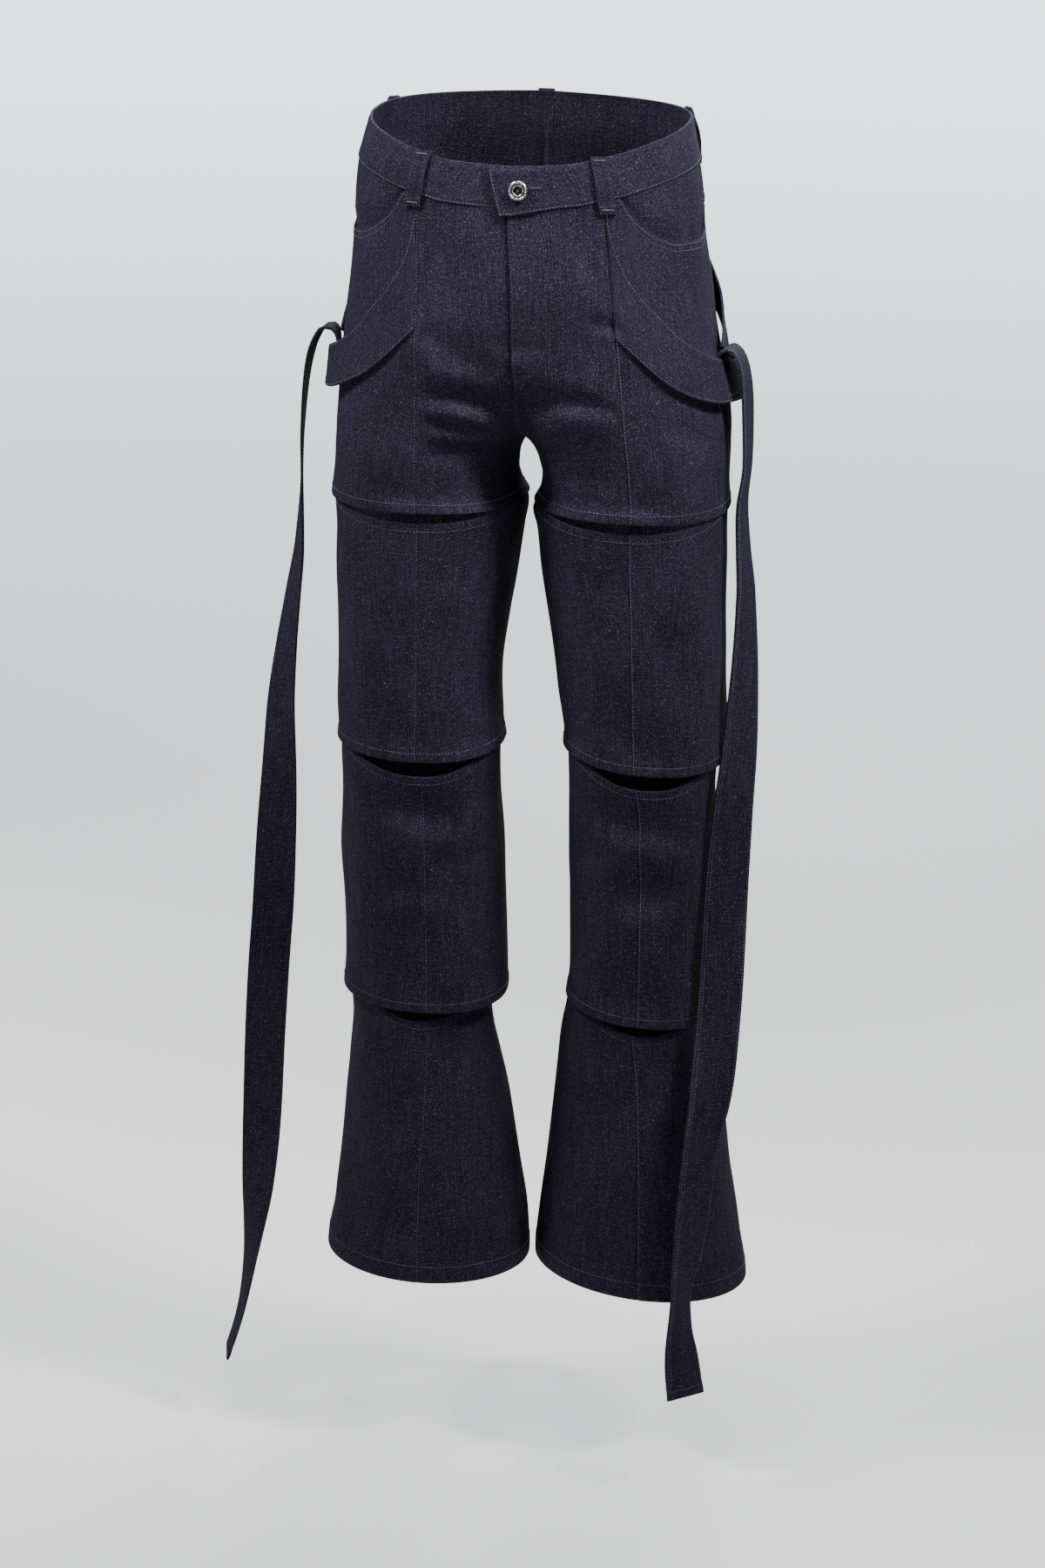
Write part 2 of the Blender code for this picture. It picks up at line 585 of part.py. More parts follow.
def band(name, middle, across, out, width, thick):
    # a flat strip: rows of middle points, with the directions of its width and of its face
    half = across * width[:, None] / 2
    face = out * thick / 2
    outer = np.stack([middle - half + face, middle + half + face], axis=1)
    inner = np.stack([middle - half - face, middle + half - face], axis=1)
    return slab(name, outer, inner)


def unit(vectors):
    return vectors / np.linalg.norm(vectors, axis=-1, keepdims=True)


def build_back_strap(side):
    strap = table(BACK_STRAP_COLUMNS, BACK_STRAP)
    across = np.linspace(0, 1, 4)
    turn = strap["turn_a"][:, None] + (strap["turn_b"] - strap["turn_a"])[:, None] * across
    z = strap["z_a"][:, None] + (strap["z_b"] - strap["z_a"])[:, None] * across
    lift = np.repeat(strap["lift"][:, None], len(across), axis=1)
    wall("back_strap_" + side, side, "top", turn, z, lift, STRAP_THICK)


def build_tail(side):
    table_rows = np.array(TAILS[side], float)
    steps = np.linalg.norm(np.diff(table_rows[:, :3], axis=0), axis=1)
    run = np.concatenate([[0], np.cumsum(steps)])
    at = np.linspace(0, run[-1], STRAP_ROWS)
    rows = np.stack([smooth(run, table_rows[:, k], at) for k in range(4)], axis=1)
    sign = SIGN[side]
    middle = rows[:, :3] * (sign, 1, 1)
    turn = np.radians(rows[:, 3])
    across = np.stack([sign * np.cos(turn), np.sin(turn), np.zeros(len(turn))], axis=1)
    along = unit(np.gradient(middle, axis=0))
    across = unit(across - along * np.sum(across * along, axis=1, keepdims=True))
    out = unit(np.cross(along, across))
    band("strap_tail_" + side, middle, across, out, np.full(len(rows), STRAP_WIDTH), STRAP_THICK)


def build_lower(side, block):
    def inseam(z):
        return np.zeros(np.shape(z))

    def seam(z):
        return seam_turn(side, block, z)

    def outseam(z):
        return np.full(np.shape(z), 180.0)

    def inseam_back(z):
        return np.full(np.shape(z), 360.0)

    def top(turn):
        return slit_edge(block, turn)

    def hem(turn):
        return hem_edge(block, turn)

    levels = spread(LOWER_LEVELS)
    panel(block + "_front_inner_" + side, side, block, inseam, seam, top, hem, INNER_COLUMNS, levels)
    panel(block + "_front_outer_" + side, side, block, seam, outseam, top, hem, OUTER_COLUMNS, levels)
    panel(block + "_back_" + side, side, block, outseam, inseam_back, top, hem, even(9), levels)


# Waistband: one strip from its lapped end round by the wearer's left, the back and the right to its under end
LAP_END = -3.6
LAP_SLANT = 3.2
UNDER_END = 373.0
LAP_ANGLE = (LAP_END, 0, 4, 8, 12, 20)
LAP_OUT = (0.0036, 0.0032, 0.0021, 0.0012, 0.0008, 0.0008)
UNDER_ANGLE = (344, 352, 356.4, 360, 364, 368, UNDER_END)
UNDER_OUT = (0.0008, 0.0006, 0.0001, -0.0006, -0.0014, -0.0021, -0.0024)


def waist_point(angle, z, lift):
    # angle runs 0 to 360 round the waist from the front by the wearer's left
    angle = np.asarray(angle, float)
    around = np.where(angle > 180, angle - 360, angle)
    left = lifted("left", "top", 90 + np.abs(around), z, lift)
    right = lifted("right", "top", 90 + np.abs(around), z, lift)
    return np.where(around[..., None] >= 0, left, right)


def build_waistband():
    angle = np.concatenate(
        [[LAP_END, 0, 4, 8, 13, 20], np.arange(30, 331, 10), [340, 346, 352, 356.4, 360, 364, 368, UNDER_END]]
    )
    around = np.where(angle > 180, angle - 360, angle)
    lapped = np.where(angle < 90, tab_share(angle), 0)
    top = waist_edge(around) - TAB_TOP_DROP * lapped
    low = waist_edge(around) - BAND_DEPTH - TAB_LOW_DROP * lapped
    down = np.array([0, 0.5, 1])[:, None]
    z = top + (low - top) * down
    out = np.where(angle < 90, smooth(LAP_ANGLE, LAP_OUT, angle), smooth(UNDER_ANGLE, UNDER_OUT, angle))
    turned = angle + np.where(angle == LAP_END, LAP_SLANT * down, 0)
    lift = np.broadcast_to(out, z.shape)
    slab("waistband", waist_point(turned, z, lift), waist_point(turned, z, lift - BAND_WALL))


LOOPS = {  # angle round the waist at the top and bottom end, and how far the loop bows out
    "belt_loop_front_left": (26.6, 28.5, 0.0012),
    "belt_loop_front_right": (333.3, 331.3, 0.0012),
    "belt_loop_side_left": (112, 112, 0.0036),
    "belt_loop_side_right": (248, 248, 0.0036),
    "belt_loop_back": (180, 180, 0.0020),
}
LOOP_SHARES = (0, 0.1, 0.25, 0.5, 0.75, 0.9, 1)


def build_loop(name):
    top_angle, low_angle, bow = LOOPS[name]
    share = np.array(LOOP_SHARES)
    angle = top_angle + (low_angle - top_angle) * share
    around = np.where(angle > 180, angle - 360, angle)
    z_top = waist_edge(around) + LOOP_RISE
    z_low = waist_edge(around) - BAND_DEPTH - LOOP_TAIL
    z = z_top + (z_low - z_top) * share
    flat = BAND_OUT + SEAM_GAP + LOOP_THICK / 2
    middle = waist_point(angle, z, flat + bow * np.sin(math.pi * share))
    level = np.full(len(z), flat)
    across = unit(waist_point(angle + 1, z, level) - waist_point(angle - 1, z, level))
    along = unit(np.gradient(middle, axis=0))
    out = unit(np.cross(across, along))
    band(name, middle, across, out, np.full(len(z), LOOP_WIDTH), LOOP_THICK)


FLY_LEVELS = (-0.092, -0.128, -0.160, -0.192, -0.220)
FLY_WIDTH = (0.034, 0.034, 0.034, 0.032, 0.018)


def build_fly():
    # the facing behind both fronts, which the curved stitching holds
    grids = []
    for thick in (0, FLY_WALL):
        rows = []
        for z, width in zip(FLY_LEVELS, FLY_WIDTH):
            middle = float(read(TORSO_TABLE, "middle", z))
            under = np.linspace(-FLY_UNDER_EDGE, -FLY_SPLIT, 3)
            places = np.concatenate([under, np.linspace(FLY_SPLIT, width, 4)])
            points = []
            for place in places:
                side = "left" if place > 0 else "right"
                turn = turn_at(side, "top", np.array(z), SIGN[side] * (middle + place))
                points.append(lifted(side, "top", turn, np.array(z), np.array(-UNDER - thick)))
            rows.append(np.array(points))
        grids.append(np.array(rows))
    slab("fly_facing", grids[0], grids[1])


def build_button():
    x, z = BUTTON_AT
    turn = turn_at("left", "top", np.array(z), x)
    angle = float(turn) - 90
    lift = float(smooth(LAP_ANGLE, LAP_OUT, angle)) + BUTTON_STAND + BUTTON_THICK / 2
    middle = lifted("left", "top", turn, np.array(z), np.array(lift))
    out = normal("left", "top", turn, np.array(z))
    bpy.ops.mesh.primitive_cylinder_add(vertices=32, radius=BUTTON_RADIUS, depth=BUTTON_THICK)
    made = bpy.context.object
    mesh = made.data.copy()
    bpy.data.objects.remove(made, do_unlink=True)
    mesh.name = "button"
    placed = add_object("button", mesh, STEEL, 0.3, 1.0)
    bevel = placed.modifiers.new("rim", "BEVEL")
    bevel.width = BUTTON_EDGE
    bevel.segments = 2
    bevel.limit_method = "ANGLE"
    placed.location = tuple(middle)
    tilt = math.atan2(math.hypot(out[0], out[1]), out[2])
    placed.rotation_euler = (tilt, 0, math.atan2(out[1], out[0]) + math.pi / 2)


build_waistband()
for loop in LOOPS:
    build_loop(loop)
build_fly()
build_button()
for name in SIGN:
    build_top(name)
    build_pocket(name)
    build_wing(name)
    build_back_strap(name)
    build_tail(name)
    for tube in ORDER[1:]:
        build_lower(name, tube)
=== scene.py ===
import math

import bmesh
import bpy
import numpy as np
from mathutils import Matrix, Vector


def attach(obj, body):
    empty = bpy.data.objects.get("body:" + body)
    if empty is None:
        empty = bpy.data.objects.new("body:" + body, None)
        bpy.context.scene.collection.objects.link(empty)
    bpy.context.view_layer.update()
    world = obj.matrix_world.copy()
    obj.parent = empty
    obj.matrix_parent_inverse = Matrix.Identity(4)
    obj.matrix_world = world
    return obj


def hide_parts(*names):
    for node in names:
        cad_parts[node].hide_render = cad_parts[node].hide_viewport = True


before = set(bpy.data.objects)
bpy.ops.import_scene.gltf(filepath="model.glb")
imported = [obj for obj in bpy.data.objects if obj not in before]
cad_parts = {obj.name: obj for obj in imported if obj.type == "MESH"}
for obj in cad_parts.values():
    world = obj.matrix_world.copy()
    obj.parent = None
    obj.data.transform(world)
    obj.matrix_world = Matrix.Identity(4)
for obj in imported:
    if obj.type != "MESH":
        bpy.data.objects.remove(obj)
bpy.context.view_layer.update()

print("frame loaded,", len(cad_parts), "nodes")

# x is the wearer's left, -y the front, z = 0 the top of the waistband at the sides, all in metres
sideSign = {"left": 1, "right": -1}
cloth = {"wall": 0.0016, "shell": 0.0012, "gap": 0.0003, "step": 0.0042, "overlap": 0.0005}


# ---- camera ----
view = {"place": (0.58, -3.644, 0.324), "turnDeg": 9.0, "downDeg": 14.35, "rollDeg": 1.35, "lensMm": 94.4}


def makeCamera():
    data = bpy.data.cameras.new("camera")
    data.lens = view["lensMm"]
    data.sensor_width = 36
    data.clip_end = 60
    made = bpy.data.objects.new("camera", data)
    bpy.context.scene.collection.objects.link(made)
    turn = Matrix.Rotation(math.radians(view["turnDeg"]), 4, "Z")
    tilt = Matrix.Rotation(math.radians(90 - view["downDeg"]), 4, "X")
    roll = Matrix.Rotation(math.radians(view["rollDeg"]), 4, "Z")
    made.matrix_world = Matrix.Translation(view["place"]) @ turn @ tilt @ roll
    bpy.context.scene.camera = made


makeCamera()

# ---- the body of the jeans: rings of the torso and of the four tubes of each leg ----
squareness = {"top": 2.4, "thigh": 2.4, "calf": 2.3, "flare": 2.0}
crotchZ = -0.29

# sizes in the tables of rows are in millimetres; split is the share of the half that is a leg of its own
torsoColumns = (
    "z", "outer_left", "outer_right", "middle", "split", "front", "back", "seam_left", "seam_right",
)
torsoRows = (
    (30, 130, 135, -6, 0, -96, 94, 68, 75),
    (0, 138.5, 143, -6, 0, -101, 100, 72, 80),
    (-25, 144.5, 150.5, -6, 0, -106, 104, 76, 84),
    (-50, 149, 156.2, -6, 0.01, -110, 110, 79, 86),
    (-80, 153, 159, -5, 0.02, -112, 117, 80, 87),
    (-120, 157, 161.5, -2, 0.06, -115, 128, 85, 87),
    (-160, 161.5, 164, 1, 0.13, -117, 136, 89.5, 86),
    (-200, 168, 167.5, 2, 0.25, -116, 138, 94, 85.5),
    (-235, 175.5, 170.5, 3, 0.42, -113, 134, 98, 85.5),
    (-262, 181, 172.2, 3, 0.64, -110, 127, 101, 85.5),
    (-280, 183.5, 173.2, 3, 0.86, -108, 121, 103, 85.5),
    (-290, 184, 173.6, 3, 1, -107, 118, 104.5, 85.5),
)
legColumns = (
    "z", "outer_left", "inner_left", "turned_left", "outer_right", "inner_right", "turned_right",
    "front", "back", "seam_left", "seam_right",
)
legRows = {
    "top": (
        (-290, 184, 3, 0, 173.6, -3, 0, -107, 118, 104.5, 85.5),
        (-297, 184.5, 8, 1, 174, 3.5, 0, -106.5, 116, 105.5, 85.5),
        (-310, 184.8, 13, 2, 174.5, 8.5, -1, -105.5, 113, 106.5, 85.5),
        (-324, 184.8, 15.5, 4, 175, 9, -2, -104, 110, 108, 85.5),
        (-337, 185.5, 13.5, 6, 175.8, 5.5, -3, -103, 107, 109, 85.6),
        (-350, 186.5, 6.5, 7, 177, -3.5, -4, -103.5, 106, 109, 85.6),
    ),
    "thigh": (
        (-348, 183.8, 10.6, 7, 174.3, 1, -4, -100.8, 103, 108.5, 84),
        (-356, 184.3, 6.8, 7, 174, -1.5, -4, -100, 102, 108, 83.5),
        (-375, 184.6, 11.2, 8, 173.2, 0.8, -5, -99, 98, 108.2, 83.5),
        (-410, 186, 16.5, 9, 172.2, 5.5, -6, -97, 91, 109.5, 83.5),
        (-460, 188, 24.8, 10, 170.8, 11.8, -8, -94, 84, 112, 83.5),
        (-515, 190.5, 34, 11, 169.2, 17.2, -9, -91, 77, 114, 83.5),
        (-560, 192.5, 40.8, 12, 169, 14, -10, -89.5, 74, 115.5, 83.8),
        (-582, 192, 39.8, 12, 170.2, 9.5, -11, -90, 74, 117, 83.8),
    ),
    "calf": (
        (-586, 185, 45, 12, 166.8, 16.2, -11, -87, 71, 117.5, 80.5),
        (-620, 184.4, 46, 12, 166.2, 15.5, -12, -84, 74, 121.8, 77),
        (-670, 185, 46.8, 12, 166.4, 13, -12, -81, 81, 124, 74.5),
        (-730, 186.5, 48, 12, 165.6, 9.7, -13, -78, 90, 125, 73.3),
        (-790, 188.2, 48.8, 13, 164.6, 7, -14, -76.5, 94, 125.7, 71.5),
        (-826, 190.5, 45, 13, 165.5, 5.6, -15, -77.5, 95, 126, 70.3),
    ),
    "flare": (
        (-832, 186, 46.2, 13, 158.2, 21, -14, -73.5, 90, 121, 70.2),
        (-850, 186.2, 43.6, 13, 157.6, 18.8, -14, -73.5, 89, 122.5, 70.2),
        (-880, 191, 40.5, 13, 158.8, 11.5, -14, -75, 90, 126.1, 70.6),
        (-925, 202, 36.5, 14, 161.2, 1.5, -14, -78, 94, 129.5, 71.5),
        (-985, 211, 31.2, 15, 166.5, -9.2, -15, -84, 102, 132.8, 74),
        (-1040, 219.5, 25, 16, 172.8, -18.2, -16, -89.5, 110, 134.8, 73.8),
        (-1070, 225.5, 22.8, 16, 178, -19.8, -16, -92, 114, 136.2, 72.5),
        (-1096, 228.5, 22.6, 16, 178.8, -19.8, -16, -93.5, 117, 137.9, 70.9),
    ),
}
tubeOrder = ("top", "thigh", "calf", "flare")
# hem height at the sides, dip in front, drop of the outseam, slit below, tuck of the next tube, closing
hemRows = {
    "top": {"side": -0.348, "dip": 0.004, "drop": 0.001, "slit": 0.009, "tuck": 0.011, "closing": 1.0},
    "thigh": {"side": -0.575, "dip": 0.008, "drop": 0.002, "slit": 0.014, "tuck": 0.011, "closing": 1.7},
    "calf": {"side": -0.819, "dip": 0.005, "drop": 0.002, "slit": 0.009, "tuck": 0.011, "closing": 2.2},
    "flare": {"side": -1.082, "dip": 0.001, "drop": 0.003, "slit": 0.0, "tuck": 0.0, "closing": 1.0},
}

# folds of each tube: turn and height of both ends, depth inwards and half width, the large ones first
foldRows = {
    ("left", "top"): (
        (35, -278, 96, -238, 3, 12), (120, -262, 150, -285, 1.6, 12), (52, -312, 88, -318, 1.6, 10),
        (258, -258, 300, -285, 3.5, 14), (205, -300, 250, -292, 2.2, 12), (62, -205, 92, -196, 0.9, 7),
        (50, -262, 84, -232, 1, 6), (96, -180, 104, -215, 0.6, 6), (118, -230, 160, -262, 0.8, 8),
        (60, -330, 110, -338, 0.6, 7), (280, -232, 318, -262, 1.4, 8), (250, -312, 300, -318, 1.2, 8),
        (190, -262, 226, -246, 1, 9), (62, -258, 84, -244, 2.4, 8), (82, -244, 102, -250.5, 2, 8),
        (104, -173, 117, -180, 1.8, 6),
    ),
    ("left", "thigh"): (
        (235, -510, 305, -500, 3, 18), (40, -405, 92, -418, 0.6, 12), (102, -470, 150, -452, 0.6, 12),
        (240, -420, 300, -408, 1.6, 13), (262, -548, 318, -556, 1.4, 11),
    ),
    ("left", "calf"): (
        (50, -628, 128, -640, 3, 16), (70, -706, 120, -694, 2.2, 16), (225, -632, 318, -645, 4, 18),
        (32, -668, 84, -660, 0.9, 10), (96, -758, 142, -770, 0.8, 12), (238, -676, 300, -690, 1.8, 12),
        (250, -742, 306, -730, 1.4, 13),
    ),
    ("left", "flare"): (
        (232, -905, 300, -915, 2.5, 20), (60, -905, 112, -896, 0.7, 12), (240, -960, 296, -972, 1.4, 14),
    ),
    ("right", "top"): (
        (30, -280, 92, -236, 3.6, 12), (44, -300, 84, -293, 2.6, 10), (258, -255, 302, -286, 3.2, 14),
        (208, -296, 246, -290, 2, 12), (58, -212, 90, -190, 1, 7), (40, -262, 78, -224, 1.2, 6),
        (70, -255, 100, -248, 0.8, 6), (120, -252, 164, -268, 0.8, 8), (282, -230, 320, -260, 1.3, 8),
        (246, -308, 298, -322, 1.2, 8), (192, -258, 224, -250, 1, 9), (106.4, -185.3, 80, -229, 2.4, 10),
        (103, -238.5, 62, -260, 2.6, 8), (91, -269, 56, -279, 3.6, 5.5),
    ),
    ("right", "thigh"): (
        (238, -500, 308, -512, 3, 18), (48, -420, 96, -408, 0.6, 12), (104, -500, 148, -520, 0.6, 12),
        (236, -412, 296, -424, 1.6, 13), (258, -552, 316, -544, 1.4, 11),
    ),
    ("right", "calf"): (
        (60, -640, 132, -622, 3, 16), (78, -700, 134, -716, 2.2, 16), (222, -650, 312, -636, 4, 18),
        (36, -672, 92, -684, 0.9, 10), (92, -752, 146, -744, 0.8, 12), (234, -688, 304, -676, 1.8, 12),
        (252, -738, 308, -750, 1.4, 13),
    ),
    ("right", "flare"): (
        (236, -915, 304, -900, 2.5, 20), (66, -898, 118, -908, 0.7, 12), (238, -966, 298, -956, 1.4, 14),
    ),
}
# how far a degree of turn is round a leg, about
metresPerTurn = 0.0018
# long soft waves of the cloth: across in degrees, down and size in metres, and phase
waveRows = (
    (61, 0.19, 0.0009, 0.4), (97, 0.11, 0.0008, 2.1), (43, 0.31, 0.0006, 4.4), (29, 0.083, 0.0003, 1.3),
)


def smooth(xs, ys, x):
    # a cubic through the points that never overshoots them
    order = np.argsort(xs)
    xs, ys = np.asarray(xs, float)[order], np.asarray(ys, float)[order]
    slope = np.diff(ys) / np.diff(xs)
    lean = np.concatenate([slope[:1], np.zeros(len(xs) - 2), slope[-1:]])
    same = slope[:-1] * slope[1:] > 0
    lean[1:-1][same] = 2 * slope[:-1][same] * slope[1:][same] / (slope[:-1][same] + slope[1:][same])
    x = np.clip(np.asarray(x, float), xs[0], xs[-1])
    i = np.clip(np.searchsorted(xs, x) - 1, 0, len(xs) - 2)
    width = xs[i + 1] - xs[i]
    t = (x - xs[i]) / width
    first = (1 + 2 * t) * (1 - t) ** 2 * ys[i] + t * (1 - t) ** 2 * width * lean[i]
    return first + t * t * (3 - 2 * t) * ys[i + 1] + t * t * (t - 1) * width * lean[i + 1]


def unit(rows):
    return rows / np.maximum(np.linalg.norm(rows, axis=-1, keepdims=True), 1e-12)


def lengthAlong(points):
    return np.concatenate([[0], np.cumsum(np.linalg.norm(np.diff(points, axis=0), axis=1))])


def bump(d, place, width):
    return np.exp(-(((d - place) / width) ** 2))


def ramp(x):
    x = np.clip(x, 0, 1)
    return x * x * (3 - 2 * x)


def tableOf(columns, rows, plain=()):
    # from rows in millimetres, apart from the plain columns
    scale = {name: 1 if name in plain else 1000 for name in columns}
    return {name: np.array(values) / scale[name] for name, values in zip(columns, zip(*rows))}


def readTable(source, name, z):
    return smooth(source["z"], source[name], z)


def makeLegTables():
    tucked = cloth["wall"] + 2 * cloth["gap"]
    change = {"outer": -tucked, "inner": 1.3 * tucked, "front": tucked, "back": -tucked}
    tables = {"top": tableOf(legColumns, legRows["top"])}
    for above, block in zip(tubeOrder, tubeOrder[1:]):
        # each tube starts inside the one above, a wall's thickness farther in
        hem = hemRows[above]
        join = hem["side"] + hem["tuck"] + hem["drop"]
        tables[block] = tableOf(legColumns, legRows[block])
        for name in legColumns:
            inward = change.get(name.split("_")[0], 0)
            first = join if name == "z" else readTable(tables[above], name, join) + inward
            tables[block][name] = np.append(first, tables[block][name])
    return tables


torsoTable = tableOf(torsoColumns, torsoRows, ("split",))
legTables = makeLegTables()


def ringAt(side, block, z):
    leg = legTables[block]
    outer, inner = readTable(leg, "outer_" + side, z), readTable(leg, "inner_" + side, z)
    turned = readTable(leg, "turned_" + side, z)
    found = {
        "centre": (outer + inner) / 2,
        "half": np.sqrt(((outer - inner) / 2) ** 2 - turned**2),
        "front": readTable(leg, "front", z),
        "back": readTable(leg, "back", z),
        "turned": turned,
        "seam": readTable(leg, "seam_" + side, z),
        "split": np.ones_like(outer),
    }
    if block != "top":
        return found
    split = readTable(torsoTable, "split", z)
    middle = sideSign[side] * readTable(torsoTable, "middle", z)
    half = (readTable(torsoTable, "outer_" + side, z) - middle) / (1 + split)
    torso = {
        "centre": middle + split * half,
        "half": half,
        "front": readTable(torsoTable, "front", z),
        "back": readTable(torsoTable, "back", z),
        "turned": np.zeros_like(half),
        "seam": readTable(torsoTable, "seam_" + side, z),
        "split": split,
    }
    above = np.asarray(z) >= crotchZ
    return {name: np.where(above, torso[name], found[name]) for name in found}


def startTurn(side, block, z):
    split = np.clip(ringAt(side, block, z)["split"], 0, 1)
    return np.degrees(np.arccos(split ** (squareness[block] / 2)))


def turnAt(side, block, z, x):
    r = ringAt(side, block, z)
    across = np.clip((r["centre"] + r["turned"] - x) / r["half"], -1, 1)
    return np.degrees(np.arccos(np.sign(across) * np.abs(across) ** (squareness[block] / 2)))


def seamTurn(side, block, z):
    return turnAt(side, block, z, ringAt(side, block, z)["seam"])


def foldDepth(side, block, turn, z):
    depth = np.zeros(np.shape(turn))
    for row in foldRows[side, block]:
        turnA, zA, turnB, zB, most, width = np.array(row) / (1, 1000, 1, 1000, 1000, 1000)
        run = np.array([(turnB - turnA) * metresPerTurn, zB - zA])
        fromA = np.stack([(turn - turnA) * metresPerTurn, z - zA], axis=-1)
        along = np.clip(fromA @ run / (run @ run), 0, 1)
        off = np.linalg.norm(fromA - along[..., None] * run, axis=-1)
        ends = np.clip(4 * along * (1 - along), 0, 1) ** 0.5
        # the trough is steeper on its lower side, and the cloth rises a little beyond it
        above = np.sign(run[0] * fromA[..., 1] - run[1] * fromA[..., 0]) * np.sign(run[0])
        near = off / width * np.where(above < 0, 1.35, 0.85)
        depth = depth + 1.1 * most * ends * (np.exp(-(near ** 2)) - 0.3 * np.exp(-((near - 2.0) ** 2)))
    return depth


def softWaves(side, block, turn, z):
    top = -0.06 if block == "top" else slitEdge(block, turn)
    start, reach = (startTurn(side, "top", z), 18) if block == "top" else (0, 10)
    fade = ramp((top - z) / 0.045) * ramp((z - hemEdge(block, turn)) / 0.03)
    fade = fade * ramp((turn - start) / reach) * ramp((360 - start - turn) / reach)
    shift = {"left": 0.0, "right": 2.6}[side] + 1.7 * tubeOrder.index(block)
    made = np.zeros(np.shape(turn))
    for across, down, size, phase in waveRows:
        wave = size * np.sin(2 * math.pi * turn / across + phase + shift)
        made = made + wave * np.cos(2 * math.pi * z / down + phase)
    return made * fade


def surfaceAt(side, block, turn, z, waves=True):
    turn, z = np.broadcast_arrays(np.asarray(turn, float), np.asarray(z, float))
    r = ringAt(side, block, z)
    cosine, sine = np.cos(np.radians(turn)), np.sin(np.radians(turn))
    power = 2 / squareness[block]
    across = -np.sign(cosine) * np.abs(cosine) ** power
    along = -np.sign(sine) * np.abs(sine) ** power
    fold = foldDepth(side, block, turn, z)
    if waves:
        fold = fold - softWaves(side, block, turn, z)
    deep = (r["back"] - r["front"]) / 2
    foldAcross = fold
    if block == "top":
        # folds run out before the centre seam, so that both halves still meet there
        start = startTurn(side, block, z)
        foldAcross = fold * ramp((turn - start) / 16) * ramp((360 - start - turn) / 16)
    x = r["centre"] + (r["half"] - foldAcross) * across + r["turned"] * sine + 0.85 * cloth["gap"]
    y = (r["front"] + r["back"]) / 2 + (deep - fold) * along
    return np.stack([sideSign[side] * x, y, z], axis=-1)


def normalAt(side, block, turn, z, waves=True):
    turn, z = np.broadcast_arrays(np.asarray(turn, float), np.asarray(z, float))
    along = surfaceAt(side, block, turn + 0.5, z, waves) - surfaceAt(side, block, turn - 0.5, z, waves)
    down = surfaceAt(side, block, turn, z - 0.0006, waves) - surfaceAt(side, block, turn, z + 0.0006, waves)
    return unit(sideSign[side] * np.cross(down, along))


def lifted(side, block, turn, z, lift, waves=True):
    out = normalAt(side, block, turn, z, waves)
    return surfaceAt(side, block, turn, z, waves) + out * np.asarray(lift)[..., None]


def hemEdge(block, turn):
    hem = hemRows[block]
    front = np.clip(np.sin(np.radians(turn)), 0, 1)
    return hem["side"] - hem["dip"] * front**2 + hem["drop"] * np.cos(np.radians(turn))


def slitEdge(block, turn):
    above = tubeOrder[tubeOrder.index(block) - 1]
    hem = hemRows[above]
    front = np.clip(np.sin(np.radians(turn)), 0, 1)
    return hemEdge(above, turn) + hem["tuck"] - (hem["slit"] + hem["tuck"]) * front ** hem["closing"]


# ---- waistband: its top edge, and the lapped end that hangs lower ----
waistband = {
    "angle": (0, 17, 26, 35, 55, 90, 120, 180),
    "top": (-0.0403, -0.0372, -0.0325, -0.028, -0.0172, -0.004, 0.002, 0.008),
    "depth": 0.037, "wall": 0.002, "out": 0.0008,
    "lapEnd": -3.6, "lapSlant": 3.2, "lapReach": 14.0, "lapTopDrop": 0.0045, "lapLowDrop": 0.0085,
    "lapAngle": (-3.6, 0, 4, 8, 12, 20), "lapOut": (0.0036, 0.0032, 0.0021, 0.0012, 0.0008, 0.0008),
    "underEnd": 373.0, "underAngle": (344, 352, 356.4, 360, 364, 368, 373),
    "underOut": (0.0008, 0.0006, 0.0001, -0.0006, -0.0014, -0.0021, -0.0024),
}


def waistEdge(angle):
    return smooth(waistband["angle"], waistband["top"], np.abs(angle))


def lapShare(angle):
    reach = waistband["lapReach"] - waistband["lapEnd"]
    return np.clip(1 - (np.asarray(angle, float) - waistband["lapEnd"]) / reach, 0, 1) ** 1.5


def bandSeam(side, turn):
    angle = np.asarray(turn, float) - 90
    drop = waistband["lapLowDrop"] * lapShare(angle) if side == "left" else 0
    return waistEdge(angle) - waistband["depth"] - drop - cloth["gap"]


pocket = {
    "turn": (124, 126, 129, 138.5, 150.6, 166.7, 180),
    "edge": (-0.0655, -0.076, -0.0858, -0.0999, -0.1067, -0.1066, -0.1),
    "start": 124.0, "under": 0.0025, "hidden": 0.012, "flat": 0.004, "secondRow": 0.0072,
}


def pocketEdge(side, turn):
    scoop = smooth(pocket["turn"], pocket["edge"], turn)
    return np.where(turn < pocket["start"], bandSeam(side, turn), np.minimum(scoop, bandSeam(side, turn)))


def yokeEdge(turn):
    return -0.076 - 0.042 * np.clip((np.asarray(turn, float) - 180) / 90, 0, 1)


# ---- materials ----
def toLinear(text):
    made = []
    for i in (1, 3, 5):
        value = int(text[i:i + 2], 16) / 255
        made.append(value / 12.92 if value <= 0.04045 else ((value + 0.055) / 1.055) ** 2.4)
    return (*made, 1)


def addNode(tree, kind, links=None, **settings):
    node = tree.nodes.new(kind)
    for name, value in settings.items():
        setattr(node, name, value)
    for name, value in (links or {}).items():
        if isinstance(value, bpy.types.NodeSocket):
            tree.links.new(value, node.inputs[name])
        else:
            node.inputs[name].default_value = value
    return node


